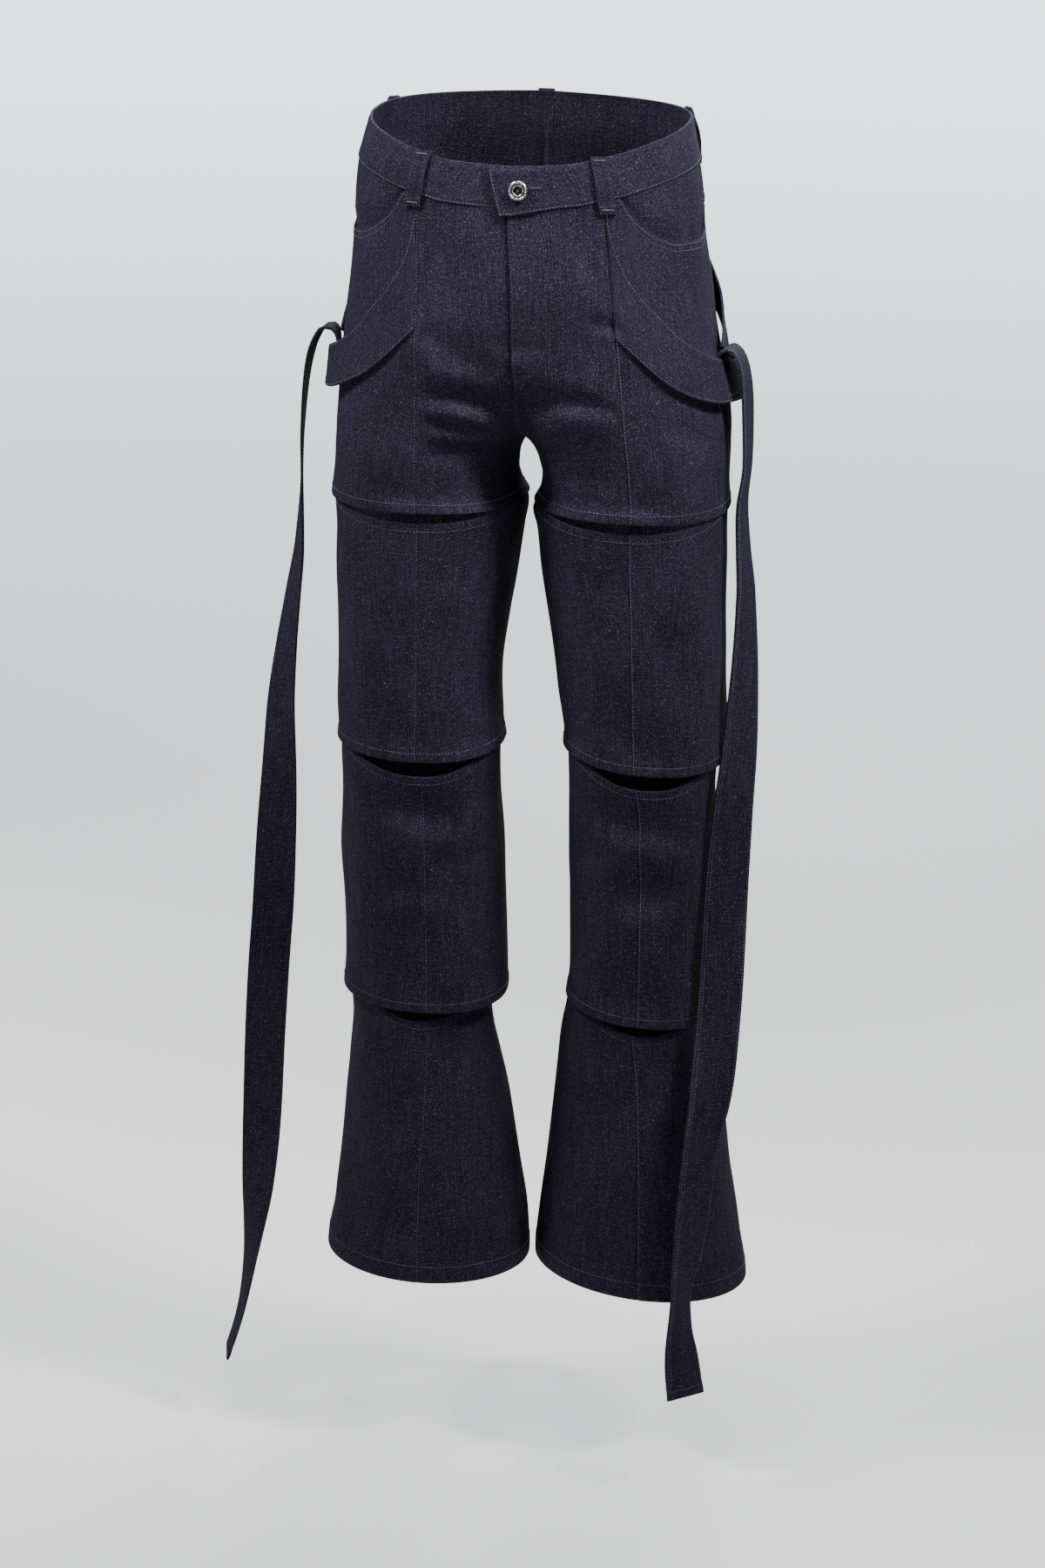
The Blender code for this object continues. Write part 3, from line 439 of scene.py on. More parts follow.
def newMaterial(name, **sockets):
    made = bpy.data.materials.new(name)
    made.use_nodes = True
    shader = made.node_tree.nodes["Principled BSDF"]
    for key, value in sockets.items():
        shader.inputs[key.replace("_", " ")].default_value = value
    return made, made.node_tree, shader


# worn is the paler tone of the edges, partly wear and partly painted highlight
denim = {
    "deep": "#040307", "mid": "#15111e", "pale": "#403855", "fleck": "#a29cb2", "worn": "#3d394c",
    "sheen": "#7d76a4", "yarnMm": 0.65, "slubMm": 1.4, "weftMm": 0.8, "twillMm": 1.7, "bump": 0.6,
}


def maths(tree, operation, *inputs):
    return addNode(tree, "ShaderNodeMath", dict(enumerate(inputs)), operation=operation).outputs["Value"]


def vectorMath(tree, operation, output, *inputs):
    return addNode(tree, "ShaderNodeVectorMath", dict(enumerate(inputs)), operation=operation).outputs[output]


def noise(tree, place, scale, detail):
    links = {"Vector": place, "Scale": scale, "Detail": detail}
    return addNode(tree, "ShaderNodeTexNoise", links).outputs["Fac"]


def shareOf(tree, value, low, high, least=0.0, most=1.0):
    ends = {"From Min": low, "From Max": high, "To Min": least, "To Max": most}
    return addNode(tree, "ShaderNodeMapRange", {"Value": value, **ends}).outputs["Result"]


def mixColour(tree, share, under, over):
    tones = [toLinear(tone) if isinstance(tone, str) else tone for tone in (under, over)]
    return addNode(tree, "ShaderNodeMix", {0: share, 6: tones[0], 7: tones[1]}, data_type="RGBA").outputs[2]


def addBump(tree, shader, height, strength, distance):
    made = addNode(tree, "ShaderNodeBump", {"Strength": strength, "Distance": distance, "Height": height})
    tree.links.new(made.outputs["Normal"], shader.inputs["Normal"])


def clothPlace(tree, acrossMm, alongMm):
    place = addNode(tree, "ShaderNodeUVMap", uv_map="cloth").outputs["UV"]
    return vectorMath(tree, "MULTIPLY", "Vector", place, (1000 / acrossMm, 1000 / alongMm, 1))


def yarnNoise(tree, acrossMm, alongMm, detail=1.0):
    return noise(tree, clothPlace(tree, acrossMm, alongMm), 1.0, detail)


def makeDenim(name, lift):
    # rope-dyed indigo twill, unwashed: near black with pale weft specks and upright slubs, so the eye
    # reads fine vertical streaks; lift is higher on the reverse, where the undyed weft shows more
    made, tree, shader = newMaterial(name, Sheen_Weight=0.03, Sheen_Roughness=0.5, IOR=1.5)
    shader.inputs["Sheen Tint"].default_value = toLinear(denim["sheen"])
    shader.inputs["Specular IOR Level"].default_value = 0.15
    yarn = yarnNoise(tree, denim["yarnMm"], 26)
    slub = yarnNoise(tree, denim["slubMm"], 34, 2.0)
    weft = yarnNoise(tree, 10, denim["weftMm"])
    speck = yarnNoise(tree, 0.9, 1.5)
    fleck = yarnNoise(tree, 1.0, 3.4)
    broad = yarnNoise(tree, 70, 110, 2.0)
    # real twill lines are 0.7 mm apart; they are drawn more than twice as coarse, to show
    place = clothPlace(tree, denim["twillMm"], denim["twillMm"] * 1.7)
    oneTurn = (2 * math.pi, 2 * math.pi, 0)
    twill = maths(tree, "SINE", vectorMath(tree, "DOT_PRODUCT", "Value", place, oneTurn))
    colour = denim["deep"]
    # each pattern, its range, the shares of the colour it lays over, and that colour
    for pattern, low, high, least, most, tone in (
        (yarn, 0.36, 0.66, 0.0, 1.0, "mid"), (slub, 0.46, 0.74, 0.0, 0.5 + lift, "pale"),
        (weft, 0.5, 0.72, 0.0, 0.5 + lift, "pale"), (twill, -1.0, 1.0, 0.0, 0.16, "pale"),
        (speck, 0.56, 0.74, 0.0, 0.26 + lift, "fleck"), (fleck, 0.66, 0.78, 0.0, 0.5, "fleck"),
        (broad, 0.4, 0.68, 0.0, 0.06 + lift, "pale"), (broad, 0.32, 0.52, 0.14, 0.0, "deep"),
    ):
        colour = mixColour(tree, shareOf(tree, pattern, low, high, least, most), colour, denim[tone])
    # paler, speckled edges: partly wear and partly a painted highlight where the raised edges catch the light
    wearAndHighlight = addNode(tree, "ShaderNodeAttribute", attribute_name="edgeWearAndHighlight").outputs["Fac"]
    worn = maths(tree, "MULTIPLY", wearAndHighlight, speck)
    tree.links.new(mixColour(tree, worn, colour, denim["worn"]), shader.inputs["Base Color"])
    # the weave stands in low relief, which breaks up the light
    height = maths(tree, "MULTIPLY_ADD", twill, 0.1, yarn)
    height = maths(tree, "MULTIPLY_ADD", speck, 0.6, height)
    addBump(tree, shader, height, denim["bump"], 0.0005)
    tree.links.new(shareOf(tree, yarn, 0.3, 0.7, 0.74, 0.92), shader.inputs["Roughness"])
    return made


# drawn a little thicker than real thread, so that it shows
thread = {"colour": "#807d90", "dark": "#302e3a", "pitch": 0.0029, "length": 0.0019, "radius": 0.00027}


def makeThread(name, pale, dark):
    # spun polyester topstitching, a shade paler than the cloth, with the twist as small dark marks
    made, tree, shader = newMaterial(name, Roughness=0.6, Sheen_Weight=0.2)
    twist = noise(tree, addNode(tree, "ShaderNodeTexCoord").outputs["Object"], 1400.0, 1.0)
    colour = mixColour(tree, shareOf(tree, twist, 0.35, 0.65), dark, pale)
    tree.links.new(colour, shader.inputs["Base Color"])
    return made


def makeMetal(name, colour, roughness):
    # plated brass, stamped and tumbled: bright or blackened, with soft smears
    made, tree, shader = newMaterial(name, Metallic=1.0, Roughness=roughness)
    smear = noise(tree, addNode(tree, "ShaderNodeTexCoord").outputs["Object"], 520.0, 3.0)
    tone = shareOf(tree, smear, 0.3, 0.7, roughness * 0.7, roughness * 1.5)
    tree.links.new(tone, shader.inputs["Roughness"])
    share = shareOf(tree, smear, 0.45, 0.75, 0.0, 0.35)
    tree.links.new(mixColour(tree, share, colour, "#77777c"), shader.inputs["Base Color"])
    addBump(tree, shader, smear, 0.15, 0.0001)
    return made


denimFace = makeDenim("indigoTwillFace", 0.0)
denimReverse = makeDenim("indigoTwillReverse", 0.14)
stitchThread = makeThread("polyesterTopstitch", thread["colour"], thread["dark"])
darkThread = makeThread("polyesterTonalTopstitch", "#2c2a38", "#121117")
holeThread = makeThread("polyesterButtonholeThread", "#4b4957", "#1d1c24")
nickel = makeMetal("nickelPlatedBrass", "#bcbcbf", 0.22)
gunmetal = makeMetal("blackenedBrass", "#1b1b1e", 0.45)
print("materials made")

# ---- making cloth from grids of points ----
edgeMm = (0, 0.35, 0.9, 1.6, 2.6, 4.0, 6.0, 7.8, 9.0, 10.2)
pieces = {}
stitchRuns = {}


def stepsOf(length):
    # shares of a length, close together at both ends where seams and hems lie
    near = np.array([d / 1000 for d in edgeMm if d / 1000 < length / 2.6])
    count = max(2, int(round((length - 2 * near[-1]) / cloth["step"])) + 1)
    inside = np.linspace(near[-1], length - near[-1], count)
    return np.concatenate([near, inside[1:-1], (length - near)[::-1]]) / length


def arcs(grid, axis):
    step = np.linalg.norm(np.diff(grid, axis=axis), axis=-1)
    return np.concatenate([np.zeros_like(np.take(step, [0], axis)), np.cumsum(step, axis=axis)], axis=axis)


def gridNormals(grid, outward):
    made = unit(np.cross(np.gradient(grid, axis=0), np.gradient(grid, axis=1)))
    return made if np.sum(made * outward) > 0 else -made


def addObject(name, mesh):
    made = bpy.data.objects.new(name, mesh)
    bpy.context.scene.collection.objects.link(made)
    return made


# raised band along a hem or slit, groove at its stitches and pucker between them, in metres
hemRelief = {"hem": (0.00055, 0.00028, 0.00022), "slit": (0.00035, 0.00022, 0.00014)}
# how far the rows of stitches lie from an edge, in metres
edgeRow, felledRow, seamRow, hemInset, slitRow = 0.0019, 0.0078, 0.0017, 0.0008, 0.0077


def edgeRelief(kind, d, along, width):
    # height of the cloth at a distance from one of its edges
    ripple = np.sin(2 * math.pi * along / 0.0083 + 1.9 * np.sin(along / 0.021))
    ripple = ripple * (0.6 + 0.4 * np.sin(along / 0.013))
    rounded = -0.00045 * np.exp(-d / 0.0005)
    if kind in hemRelief:
        band, groove, pucker = hemRelief[kind]
        band = band * (1 - ramp((d - width) / 0.0016)) - groove * bump(d, width - 0.0008, 0.0008)
        return rounded + band + pucker * ripple * bump(d, width * 0.6, width * 0.5)
    if kind == "seam":
        return -0.0016 * np.exp(-d / 0.0011)
    if kind == "felled":
        band = 0.0004 * (1 - ramp((d - 0.0065) / 0.002)) - 0.0002 * bump(d, edgeRow, 0.0007)
        return -0.0015 * np.exp(-d / 0.0009) + band + 0.00012 * ripple * bump(d, 0.003, 0.003)
    band = 0.0003 * (1 - ramp((d - 0.006) / 0.002)) - 0.0002 * bump(d, edgeRow, 0.0007)
    return rounded + band + 0.0001 * ripple * bump(d, 0.003, 0.003)


def wearAndHighlightOf(kind, d):
    # the paler line along worn edges, and beside a felled seam: partly wear, partly a painted highlight on
    # the raised edges
    if kind == "seam":
        return np.zeros_like(d)
    return 0.5 * bump(d, 0.001, 0.0006) if kind == "felled" else 0.45 * np.exp(-d / 0.0008)


def makeCloth(
    node, grid, outward, edges=(), thick=cloth["shell"], extra=0,
    doubled=False, isNode=True,
):
    # edges: the kind of the left, right, top or bottom edge, a hem or slit with its width
    acrossArc, downArc = arcs(grid, 1), arcs(grid, 0)
    distance = {
        "left": acrossArc, "right": acrossArc[:, -1:] - acrossArc,
        "top": downArc, "bottom": downArc[-1:] - downArc,
    }
    lift, wearAndHighlight = np.zeros(grid.shape[:2]), np.zeros(grid.shape[:2])
    for place, kind in dict(edges).items():
        kind, width = kind if isinstance(kind, tuple) else (kind, 0)
        along = downArc if place in ("left", "right") else acrossArc
        lift = lift + edgeRelief(kind, distance[place], along, width)
        wearAndHighlight = np.maximum(wearAndHighlight, wearAndHighlightOf(kind, distance[place]))
    lift = lift + extra
    base = gridNormals(grid, outward)
    outer = grid + base * lift[..., None]
    normals = gridNormals(outer, outward)
    inner = grid - base * (thick - np.minimum(lift, 0))[..., None]
    # outer faces, their copies inside and the rim round both, all with the outside facing out
    rows, columns = grid.shape[:2]
    number = np.arange(rows * columns).reshape(rows, columns)
    corners = (number[:-1, :-1], number[1:, :-1], number[1:, 1:], number[:-1, 1:])
    quads = np.stack(corners, axis=-1).reshape(-1, 4)
    first = outer.reshape(-1, 3)[quads[0]]
    if np.dot(np.cross(first[1] - first[0], first[2] - first[1]), normals[0, 0]) < 0:
        quads = quads[:, ::-1]
    back = quads[:, ::-1] + rows * columns
    around = np.concatenate([number[0, :], number[1:, -1], number[-1, -2::-1], number[-2:0:-1, 0]])
    after = np.roll(around, -1)
    rim = np.stack([around, after, after + rows * columns, around + rows * columns], axis=-1)
    if (around[0], around[1]) in set(zip(quads[0], np.roll(quads[0], -1))):
        rim = rim[:, ::-1]
    mesh = bpy.data.meshes.new("denim_" + node)
    faces = np.concatenate([quads, back, rim])
    points = np.concatenate([outer.reshape(-1, 3), inner.reshape(-1, 3)])
    mesh.from_pydata(points.tolist(), [], faces.tolist())
    uv = np.stack([acrossArc - acrossArc.mean(axis=1, keepdims=True), downArc], axis=-1)
    uv = np.concatenate([uv.reshape(-1, 2)] * 2)
    layer = mesh.uv_layers.new(name="cloth")
    layer.data.foreach_set("uv", uv[faces.reshape(-1)].astype(np.float32).reshape(-1))
    # share of the paler edge colour per point, partly wear and partly painted highlight on the raised edges
    worn = mesh.attributes.new("edgeWearAndHighlight", "FLOAT", "POINT")
    worn.data.foreach_set("value", np.tile(wearAndHighlight.reshape(-1), 2).astype(np.float32))
    mesh.materials.append(denimFace)
    mesh.materials.append(denimFace if doubled else denimReverse)
    slots = np.concatenate([np.zeros(len(quads)), np.ones(len(back)), np.zeros(len(rim))]).astype(np.int32)
    mesh.polygons.foreach_set("material_index", slots)
    mesh.shade_smooth()
    mesh.set_sharp_from_angle(angle=math.radians(55))
    made = addObject("denim_" + node, mesh)
    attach(made, "root")
    if isNode:
        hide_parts(node)
    pieces[node] = {"outer": outer, "normals": normals, "distance": distance}


def readLine(at, run, places):
    return np.stack([np.interp(at, run, places[:, k]) for k in range(3)], axis=1)


def lineOn(node, place, offset, skip=0.0):
    # the line on a piece that runs along one edge at a distance from it
    piece = pieces[node]
    grid, normals, distance = piece["outer"], piece["normals"], piece["distance"][place]
    if place in ("top", "bottom"):
        grid, normals, distance = grid.swapaxes(0, 1), normals.swapaxes(0, 1), distance.T
    points, outs = [], []
    for row, out, d in zip(grid, normals, distance):
        order = np.argsort(d)
        points.append(readLine([offset], d[order], row[order])[0])
        outs.append(readLine([offset], d[order], out[order])[0])
    points, outs = np.array(points), np.array(outs)
    if skip:
        run = lengthAlong(points)
        keep = (run > skip) & (run < run[-1] - skip)
        points, outs = points[keep], outs[keep]
    return points, outs


def sew(group, line, pitch=thread["pitch"], length=thread["length"], radius=thread["radius"]):
    # a row of stitches along a line of points with their outward directions
    points, outs = line
    run = lengthAlong(points)
    count = int(run[-1] / pitch)
    if count < 1:
        return
    begin = np.arange(count) * pitch + (run[-1] - count * pitch) / 2 + (pitch - length) / 2
    start, end = readLine(begin, run, points), readLine(begin + length, run, points)
    out = unit(readLine(begin + length / 2, run, outs))
    stitchRuns.setdefault(group, []).append((start, end, out, np.full(count, radius)))


def makeStitches(group, material):
    # each stitch is two rings of six points and a tip at each end, which dips into the cloth
    start, end, out, radius = (np.concatenate([run[i] for run in stitchRuns[group]]) for i in range(4))
    along = unit(end - start)
    beside = unit(np.cross(along, out))
    up = np.cross(beside, along)
    radius = radius[:, None]
    points = [start - up * radius * 0.8, end - up * radius * 0.8]
    for share in (0.16, 0.84):
        middle = start + (end - start) * share + up * radius * 0.45
        for corner in range(6):
            a = math.pi / 3 * corner
            points.append(middle + (beside * math.cos(a) + up * math.sin(a)) * radius)
    tipFaces, sideFaces = [], []
    for corner in range(6):
        after = (corner + 1) % 6
        tipFaces += [(0, 2 + after, 2 + corner), (1, 8 + corner, 8 + after)]
        sideFaces.append((2 + corner, 2 + after, 8 + after, 8 + corner))
    offset = (np.arange(len(start)) * len(points))[:, None, None]
    faces = (np.array(tipFaces) + offset).reshape(-1, 3).tolist()
    faces += (np.array(sideFaces) + offset).reshape(-1, 4).tolist()
    mesh = bpy.data.meshes.new(group)
    mesh.from_pydata(np.stack(points, axis=1).reshape(-1, 3).tolist(), [], faces)
    mesh.materials.append(material)
    mesh.shade_smooth()
    made = addObject(group, mesh)
    fixNormals(made)
    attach(made, "root")


def fixNormals(made):
    shape = bmesh.new()
    shape.from_mesh(made.data)
    bmesh.ops.recalc_face_normals(shape, faces=shape.faces)
    shape.to_mesh(made.data)
    shape.free()


# ---- the panels of the body and legs ----
def turnOf(length, side, block, turn, z):
    step = surfaceAt(side, block, turn + 0.5, z, False) - surfaceAt(side, block, turn - 0.5, z, False)
    return length / np.linalg.norm(step, axis=-1)


def makePanel(node, side, block, seams, upper, lower, edges, extra=None):
    first, last = seams
    zMiddle = -0.2 if block == "top" else float(np.mean(legTables[block]["z"]))
    zs = np.full(40, zMiddle)
    line = surfaceAt(side, block, np.linspace(first(zs)[0], last(zs)[0], 40), zs, False)
    columns = stepsOf(lengthAlong(line)[-1])
    tops, ends = np.full(len(columns), zMiddle), np.full(len(columns), zMiddle)
    for _ in range(6):
        tops = upper(first(tops) + (last(tops) - first(tops)) * columns)
        ends = lower(first(ends) + (last(ends) - first(ends)) * columns)
    z = tops + (ends - tops) * stepsOf(float(np.mean(tops - ends)) * 1.02)[:, None]
    start, stop = first(z), last(z)
    # each panel passes its seam line a little and dips there, so that the seam is a closed groove
    start = start - turnOf(cloth["overlap"], side, block, start, z)
    stop = stop + turnOf(cloth["overlap"], side, block, stop, z)
    turn = start + (stop - start) * columns
    grid = surfaceAt(side, block, turn, z)
    added = extra(z, arcs(grid, 1)) if extra else 0
    makeCloth(node, grid, normalAt(side, block, turn, z), edges, extra=added)


hemWidth = {"top": 0.0093, "thigh": 0.0093, "calf": 0.0093, "flare": 0.0165}
slitWidth = 0.0085
panelTuck = 0.0008  # how far the panels reach up behind the waistband and the yoke
fly = {
    "end": -0.226, "fade": 0.012, "rise": 0.0019, "reach": 0.01, "jWidth": 0.031,
    "jTurn": (76.0, 82.0, 86.5, 90.3), "jZ": (-0.2266, -0.2212, -0.211, -0.1965),
}
crotchSeam = {"from": -0.238, "fade": 0.016, "end": 0.006, "fill": 0.0024, "reach": 0.0011}


def crotchFill(d, z):
    # under the body the two halves face each other, and there their seam lies flush and closed
    seam = crotchSeam
    share = ramp((seam["from"] - z) / seam["fade"]) * ramp((z - crotchZ + seam["end"]) / seam["end"])
    return seam["fill"] * share * np.exp(-d / seam["reach"])


def flyStep(side):
    # the wearer's left front laps over the right as far as the end of the fly
    def made(z, across):
        share = ramp((z - fly["end"]) / fly["fade"]) * np.exp(-((across / fly["reach"]) ** 2))
        return (fly["rise"] if side == "left" else -0.45 * fly["rise"]) * share + crotchFill(across, z)
    return made


def seamsOf(side, block):
    # the turn of each long seam: centre or inside leg, front, side, and the centre or inside leg behind
    return (
        lambda z: startTurn(side, block, z), lambda z: seamTurn(side, block, z),
        lambda z: np.full(np.shape(z), 180.0), lambda z: 360 - startTurn(side, block, z),
    )


def makeTop(side):
    inside, front, outside, behind = seamsOf(side, "top")
    seamed, bottom = {"left": "seam", "right": "seam"}, ("hem", hemWidth["top"])

    def hem(turn):
        return hemEdge("top", turn)

    def band(turn):
        return bandSeam(side, turn) + panelTuck

    makePanel(
        "front_centre_" + side, side, "top", (inside, front), band, hem,
        {**seamed, "bottom": bottom}, flyStep(side),
    )
    makePanel(
        "front_side_" + side, side, "top", (front, outside), lambda turn: pocketEdge(side, turn), hem,
        {"left": "felled", "right": "seam", "top": "edge", "bottom": bottom},
    )
    makePanel(
        "seat_" + side, side, "top", (outside, behind), lambda turn: yokeEdge(turn) + panelTuck, hem,
        {**seamed, "top": "seam", "bottom": bottom},
        lambda z, across: crotchFill(across[:, -1:] - across, z),
    )
    makePanel(
        "yoke_" + side, side, "top", (outside, behind), band, yokeEdge,
        {**seamed, "bottom": "felled"},
    )


def makeLower(side, block):
    inside, front, outside, behind = seamsOf(side, block)
    # each part, its seams, the kind of its left one, and the panel of the body above it
    for part, seams, kind, body in (
        ("_front_inner_", (inside, front), "seam", "front_centre_"),
        ("_front_outer_", (front, outside), "felled", "front_side_"),
        ("_back_", (outside, behind), "seam", "seat_"),
    ):
        edges = {"left": kind, "right": "seam"}
        if part != "_back_":
            edges["top"] = ("slit", slitWidth)
        edges["bottom"] = ("hem", hemWidth[block])
        makePanel(
            block + part + side, side, block, seams, lambda turn: slitEdge(block, turn),
            lambda turn: hemEdge(block, turn), edges,
        )


def makePocket(side):
    turns = np.linspace(121.5, 179.8, 44)
    shares = np.concatenate([np.linspace(0, 1, 12), np.linspace(1.08, 1.7, 6)])[:, None]
    turn = np.tile(turns, (len(shares), 1))
    edge, top = pocketEdge(side, turn), bandSeam(side, turn)
    above = np.maximum(top - edge, 0)
    z = np.where(shares <= 1, top - above * shares, edge - pocket["hidden"] * (shares - 1) / 0.7)
    z = z - np.where(above < 0.001, 0.003 * shares, 0)
    rise = np.clip((z - edge - pocket["flat"]) / 0.012, 0, 1)
    grid = lifted(side, "top", turn, z, -pocket["under"] * (1 - rise))
    makeCloth("pocket_facing_" + side, grid, normalAt(side, "top", turn, z))


for side in sideSign:
    makeTop(side)
    makePocket(side)
    for block in tubeOrder[1:]:
        makeLower(side, block)
print("panels made")

# ---- waistband, loops, fly facing ----
def waistPoint(angle, z, lift, waves=True):
    angle = np.asarray(angle, float)
    around = np.where(angle > 180, angle - 360, angle)
    left = lifted("left", "top", 90 + np.abs(around), z, lift, waves)
    right = lifted("right", "top", 90 + np.abs(around), z, lift, waves)
    return np.where(around[..., None] >= 0, left, right)


def waistNormal(angle, z):
    flat = np.zeros(np.shape(z))
    return unit(waistPoint(angle, z, flat + 0.001) - waistPoint(angle, z, flat))


def makeWaistband():
    band = waistband
    lapEnd = [band["lapEnd"], -3.4, -3.0, -2.4, -1.6, -0.8]
    angle = np.concatenate([lapEnd, np.arange(0, 372, 2.0), [372, 372.5, band["underEnd"]]])
    around = np.where(angle > 180, angle - 360, angle)
    lapped = np.where(angle < 90, lapShare(angle), 0)
    top = waistEdge(around) - band["lapTopDrop"] * lapped
    low = waistEdge(around) - band["depth"] - band["lapLowDrop"] * lapped
    down = stepsOf(band["depth"])[:, None]
    z = top + (low - top) * down
    over, under = (smooth(band[kind + "Angle"], band[kind + "Out"], angle) for kind in ("lap", "under"))
    lift = np.broadcast_to(np.where(angle < 90, over, under), z.shape)
    turned = angle + np.where(angle < 0, band["lapSlant"] * down * (angle / band["lapEnd"]), 0)
    edges = {place: "edge" for place in ("left", "right", "top", "bottom")}
    grid = waistPoint(turned, z, lift)
    makeCloth(
        "waistband", grid, waistNormal(turned, z), edges, thick=band["wall"], doubled=True,
    )


loopRows = {  # angle round the waist at the top and bottom end, and how far the loop bows out
    "belt_loop_front_left": (26.6, 28.5, 0.0012),
    "belt_loop_front_right": (333.3, 331.3, 0.0012),
    "belt_loop_side_left": (112, 112, 0.0036),
    "belt_loop_side_right": (248, 248, 0.0036),
    "belt_loop_back": (180, 180, 0.002),
}
loop = {"width": 0.015, "long": 0.049, "thick": 0.0014, "tail": 0.011, "fold": 0.0007, "rowInset": 0.0022}
barTack = {"pitch": 0.0011, "length": 0.001, "radius": 0.00033}


def bandGrid(middle, across, out, width, thick, columns):
    place = (columns - 0.5)[None, :, None] * width
    return middle[:, None] + across[:, None] * place + out[:, None] * thick / 2


def makeLoop(name):
    topAngle, lowAngle, bow = loopRows[name]
    share = stepsOf(loop["long"])
    angle = topAngle + (lowAngle - topAngle) * share
    around = np.where(angle > 180, angle - 360, angle)
    zTop, zLow = waistEdge(around) + 0.001, waistEdge(around) - waistband["depth"] - loop["tail"]
    z = zTop + (zLow - zTop) * share
    flat = np.full(len(z), waistband["out"] + cloth["gap"] + loop["thick"] / 2)
    middle = waistPoint(angle, z, flat + bow * np.sin(math.pi * share), False)
    across = unit(waistPoint(angle + 1, z, flat, False) - waistPoint(angle - 1, z, flat, False))
    out = unit(np.cross(across, unit(np.gradient(middle, axis=0))))
    out = out * np.sign(np.sum(out * waistNormal(angle, z), axis=-1, keepdims=True))
    grid = bandGrid(middle, across, out, loop["width"], loop["thick"], stepsOf(loop["width"]))
    # thicker folded ends under the bar tacks
    folded = loop["fold"] * (1 - ramp((share - 0.13) / 0.03)) + loop["fold"] * ramp((share - 0.85) / 0.03)
    makeCloth(
        name, grid, out[:, None], {"left": "edge", "right": "edge"}, loop["thick"], folded[:, None],
        True,
    )
    for place in ("left", "right"):
        sew("tonalstitch_waist", lineOn(name, place, loop["rowInset"], 0.003))
    for place in ("top", "bottom"):
        for offset in (0.003, 0.0036):
            sew("topstitch_waist", lineOn(name, place, offset, 0.0012), **barTack)


flyFacing = {
    "levels": (-0.092, -0.128, -0.16, -0.192, -0.22), "widths": (0.034, 0.034, 0.034, 0.032, 0.018),
}


def makeFlyFacing():
    levels, depth = flyFacing["levels"], np.array(-cloth["wall"] - 3 * cloth["gap"])
    rows = []
    for z in np.linspace(levels[0], levels[-1], 40):
        width = float(smooth(levels, flyFacing["widths"], z))
        middle = float(readTable(torsoTable, "middle", z))
        points = []
        for place in np.concatenate([np.linspace(-0.008, -0.001, 4), np.linspace(0.001, width, 12)]):
            side = "left" if place > 0 else "right"
            turn = turnAt(side, "top", np.array(z), sideSign[side] * (middle + place))
            points.append(lifted(side, "top", turn, np.array(z), depth))
        rows.append(points)
    makeCloth("fly_facing", np.array(rows), np.array([0, -1.0, 0]))


makeWaistband()
for name in loopRows:
    makeLoop(name)
makeFlyFacing()
print("waistband made")

# ---- wings, back straps and hanging straps ----
wing = {
    "end": 196.0, "wall": 0.0014, "ripple": 0.0008,
    "columns": ("share", "upper", "lower", "liftUpper", "liftLower"),
    "rows": (
        (0, -84, -186, 0.3, 0.3), (0.023, -110, -191.5, 0.4, 0.4), (0.077, -134, -201.5, 0.6, 0.8),
        (0.15, -153, -214, 1, 1.6), (0.244, -170, -227.5, 1.6, 2.8), (0.34, -187, -237, 2.4, 4.2),
        (0.466, -201, -245.5, 4.2, 6.6), (0.64, -213, -251.8, 8, 10), (0.82, -220, -254, 11.4, 13),
        (0.91, -221, -254, 11.2, 12.6), (1, -222, -253, 8, 9),
    ),
}


def makeWing(side):
    table = tableOf(wing["columns"], wing["rows"], ("share",))
    share = np.concatenate([np.linspace(0, 0.08, 14)[:-1], np.linspace(0.08, 1, 52)])
    edge = {name: smooth(table["share"], table[name], share) for name in wing["columns"][1:]}
    down = stepsOf(0.055)[:, None]
    z = edge["upper"] + (edge["lower"] - edge["upper"]) * down
    seam = seamTurn(side, "top", z)
    turn = seam + (wing["end"] - seam) * share
    lift = edge["liftUpper"] + (edge["liftLower"] - edge["liftUpper"]) * down + cloth["wall"]
    # the free half of the wing ripples a little
    lift = lift + wing["ripple"] * np.sin(share * 15 + 1.2) * ramp((share - 0.3) / 0.4) * (0.4 + 0.6 * down)
    grid = lifted(side, "top", turn, z, lift)
    edges = {"left": "seam", "right": "edge", "top": "edge", "bottom": "edge"}
    makeCloth(
        "wing_" + side, grid, normalAt(side, "top", turn, z), edges, wing["wall"],
    )


wingReturn = {
    "turn": 196.0, "bulge": 3.2, "back": 11.0, "long": 0.02, "deep": 0.036,
    "upper": (-0.222, -0.207), "lower": (-0.253, -0.246), "lift": (0.0082, 0.0006),
}


def makeWingReturn(side):
    # the end of the wing turns back to the body, and the hanging strap passes over it
    share, down = stepsOf(wingReturn["long"]), stepsOf(wingReturn["deep"])[:, None]
    upper, lower = (wingReturn[k][0] + np.diff(wingReturn[k]) * share for k in ("upper", "lower"))
    z = upper + (lower - upper) * down
    turn = wingReturn["turn"] + wingReturn["bulge"] * np.sin(math.pi * share)
    turn = np.broadcast_to(turn - wingReturn["back"] * share ** 2, z.shape)
    outer, inner = wingReturn["lift"]
    lift = (outer + inner) / 2 + (outer - inner) / 2 * np.cos(math.pi * share) + cloth["wall"]
    grid = lifted(side, "top", turn, z, np.broadcast_to(lift, z.shape))
    makeCloth(
        "wing_return_" + side, grid, normalAt(side, "top", turn, z), {"top": "edge", "bottom": "edge"},
        wing["wall"], doubled=True, isNode=False,
    )


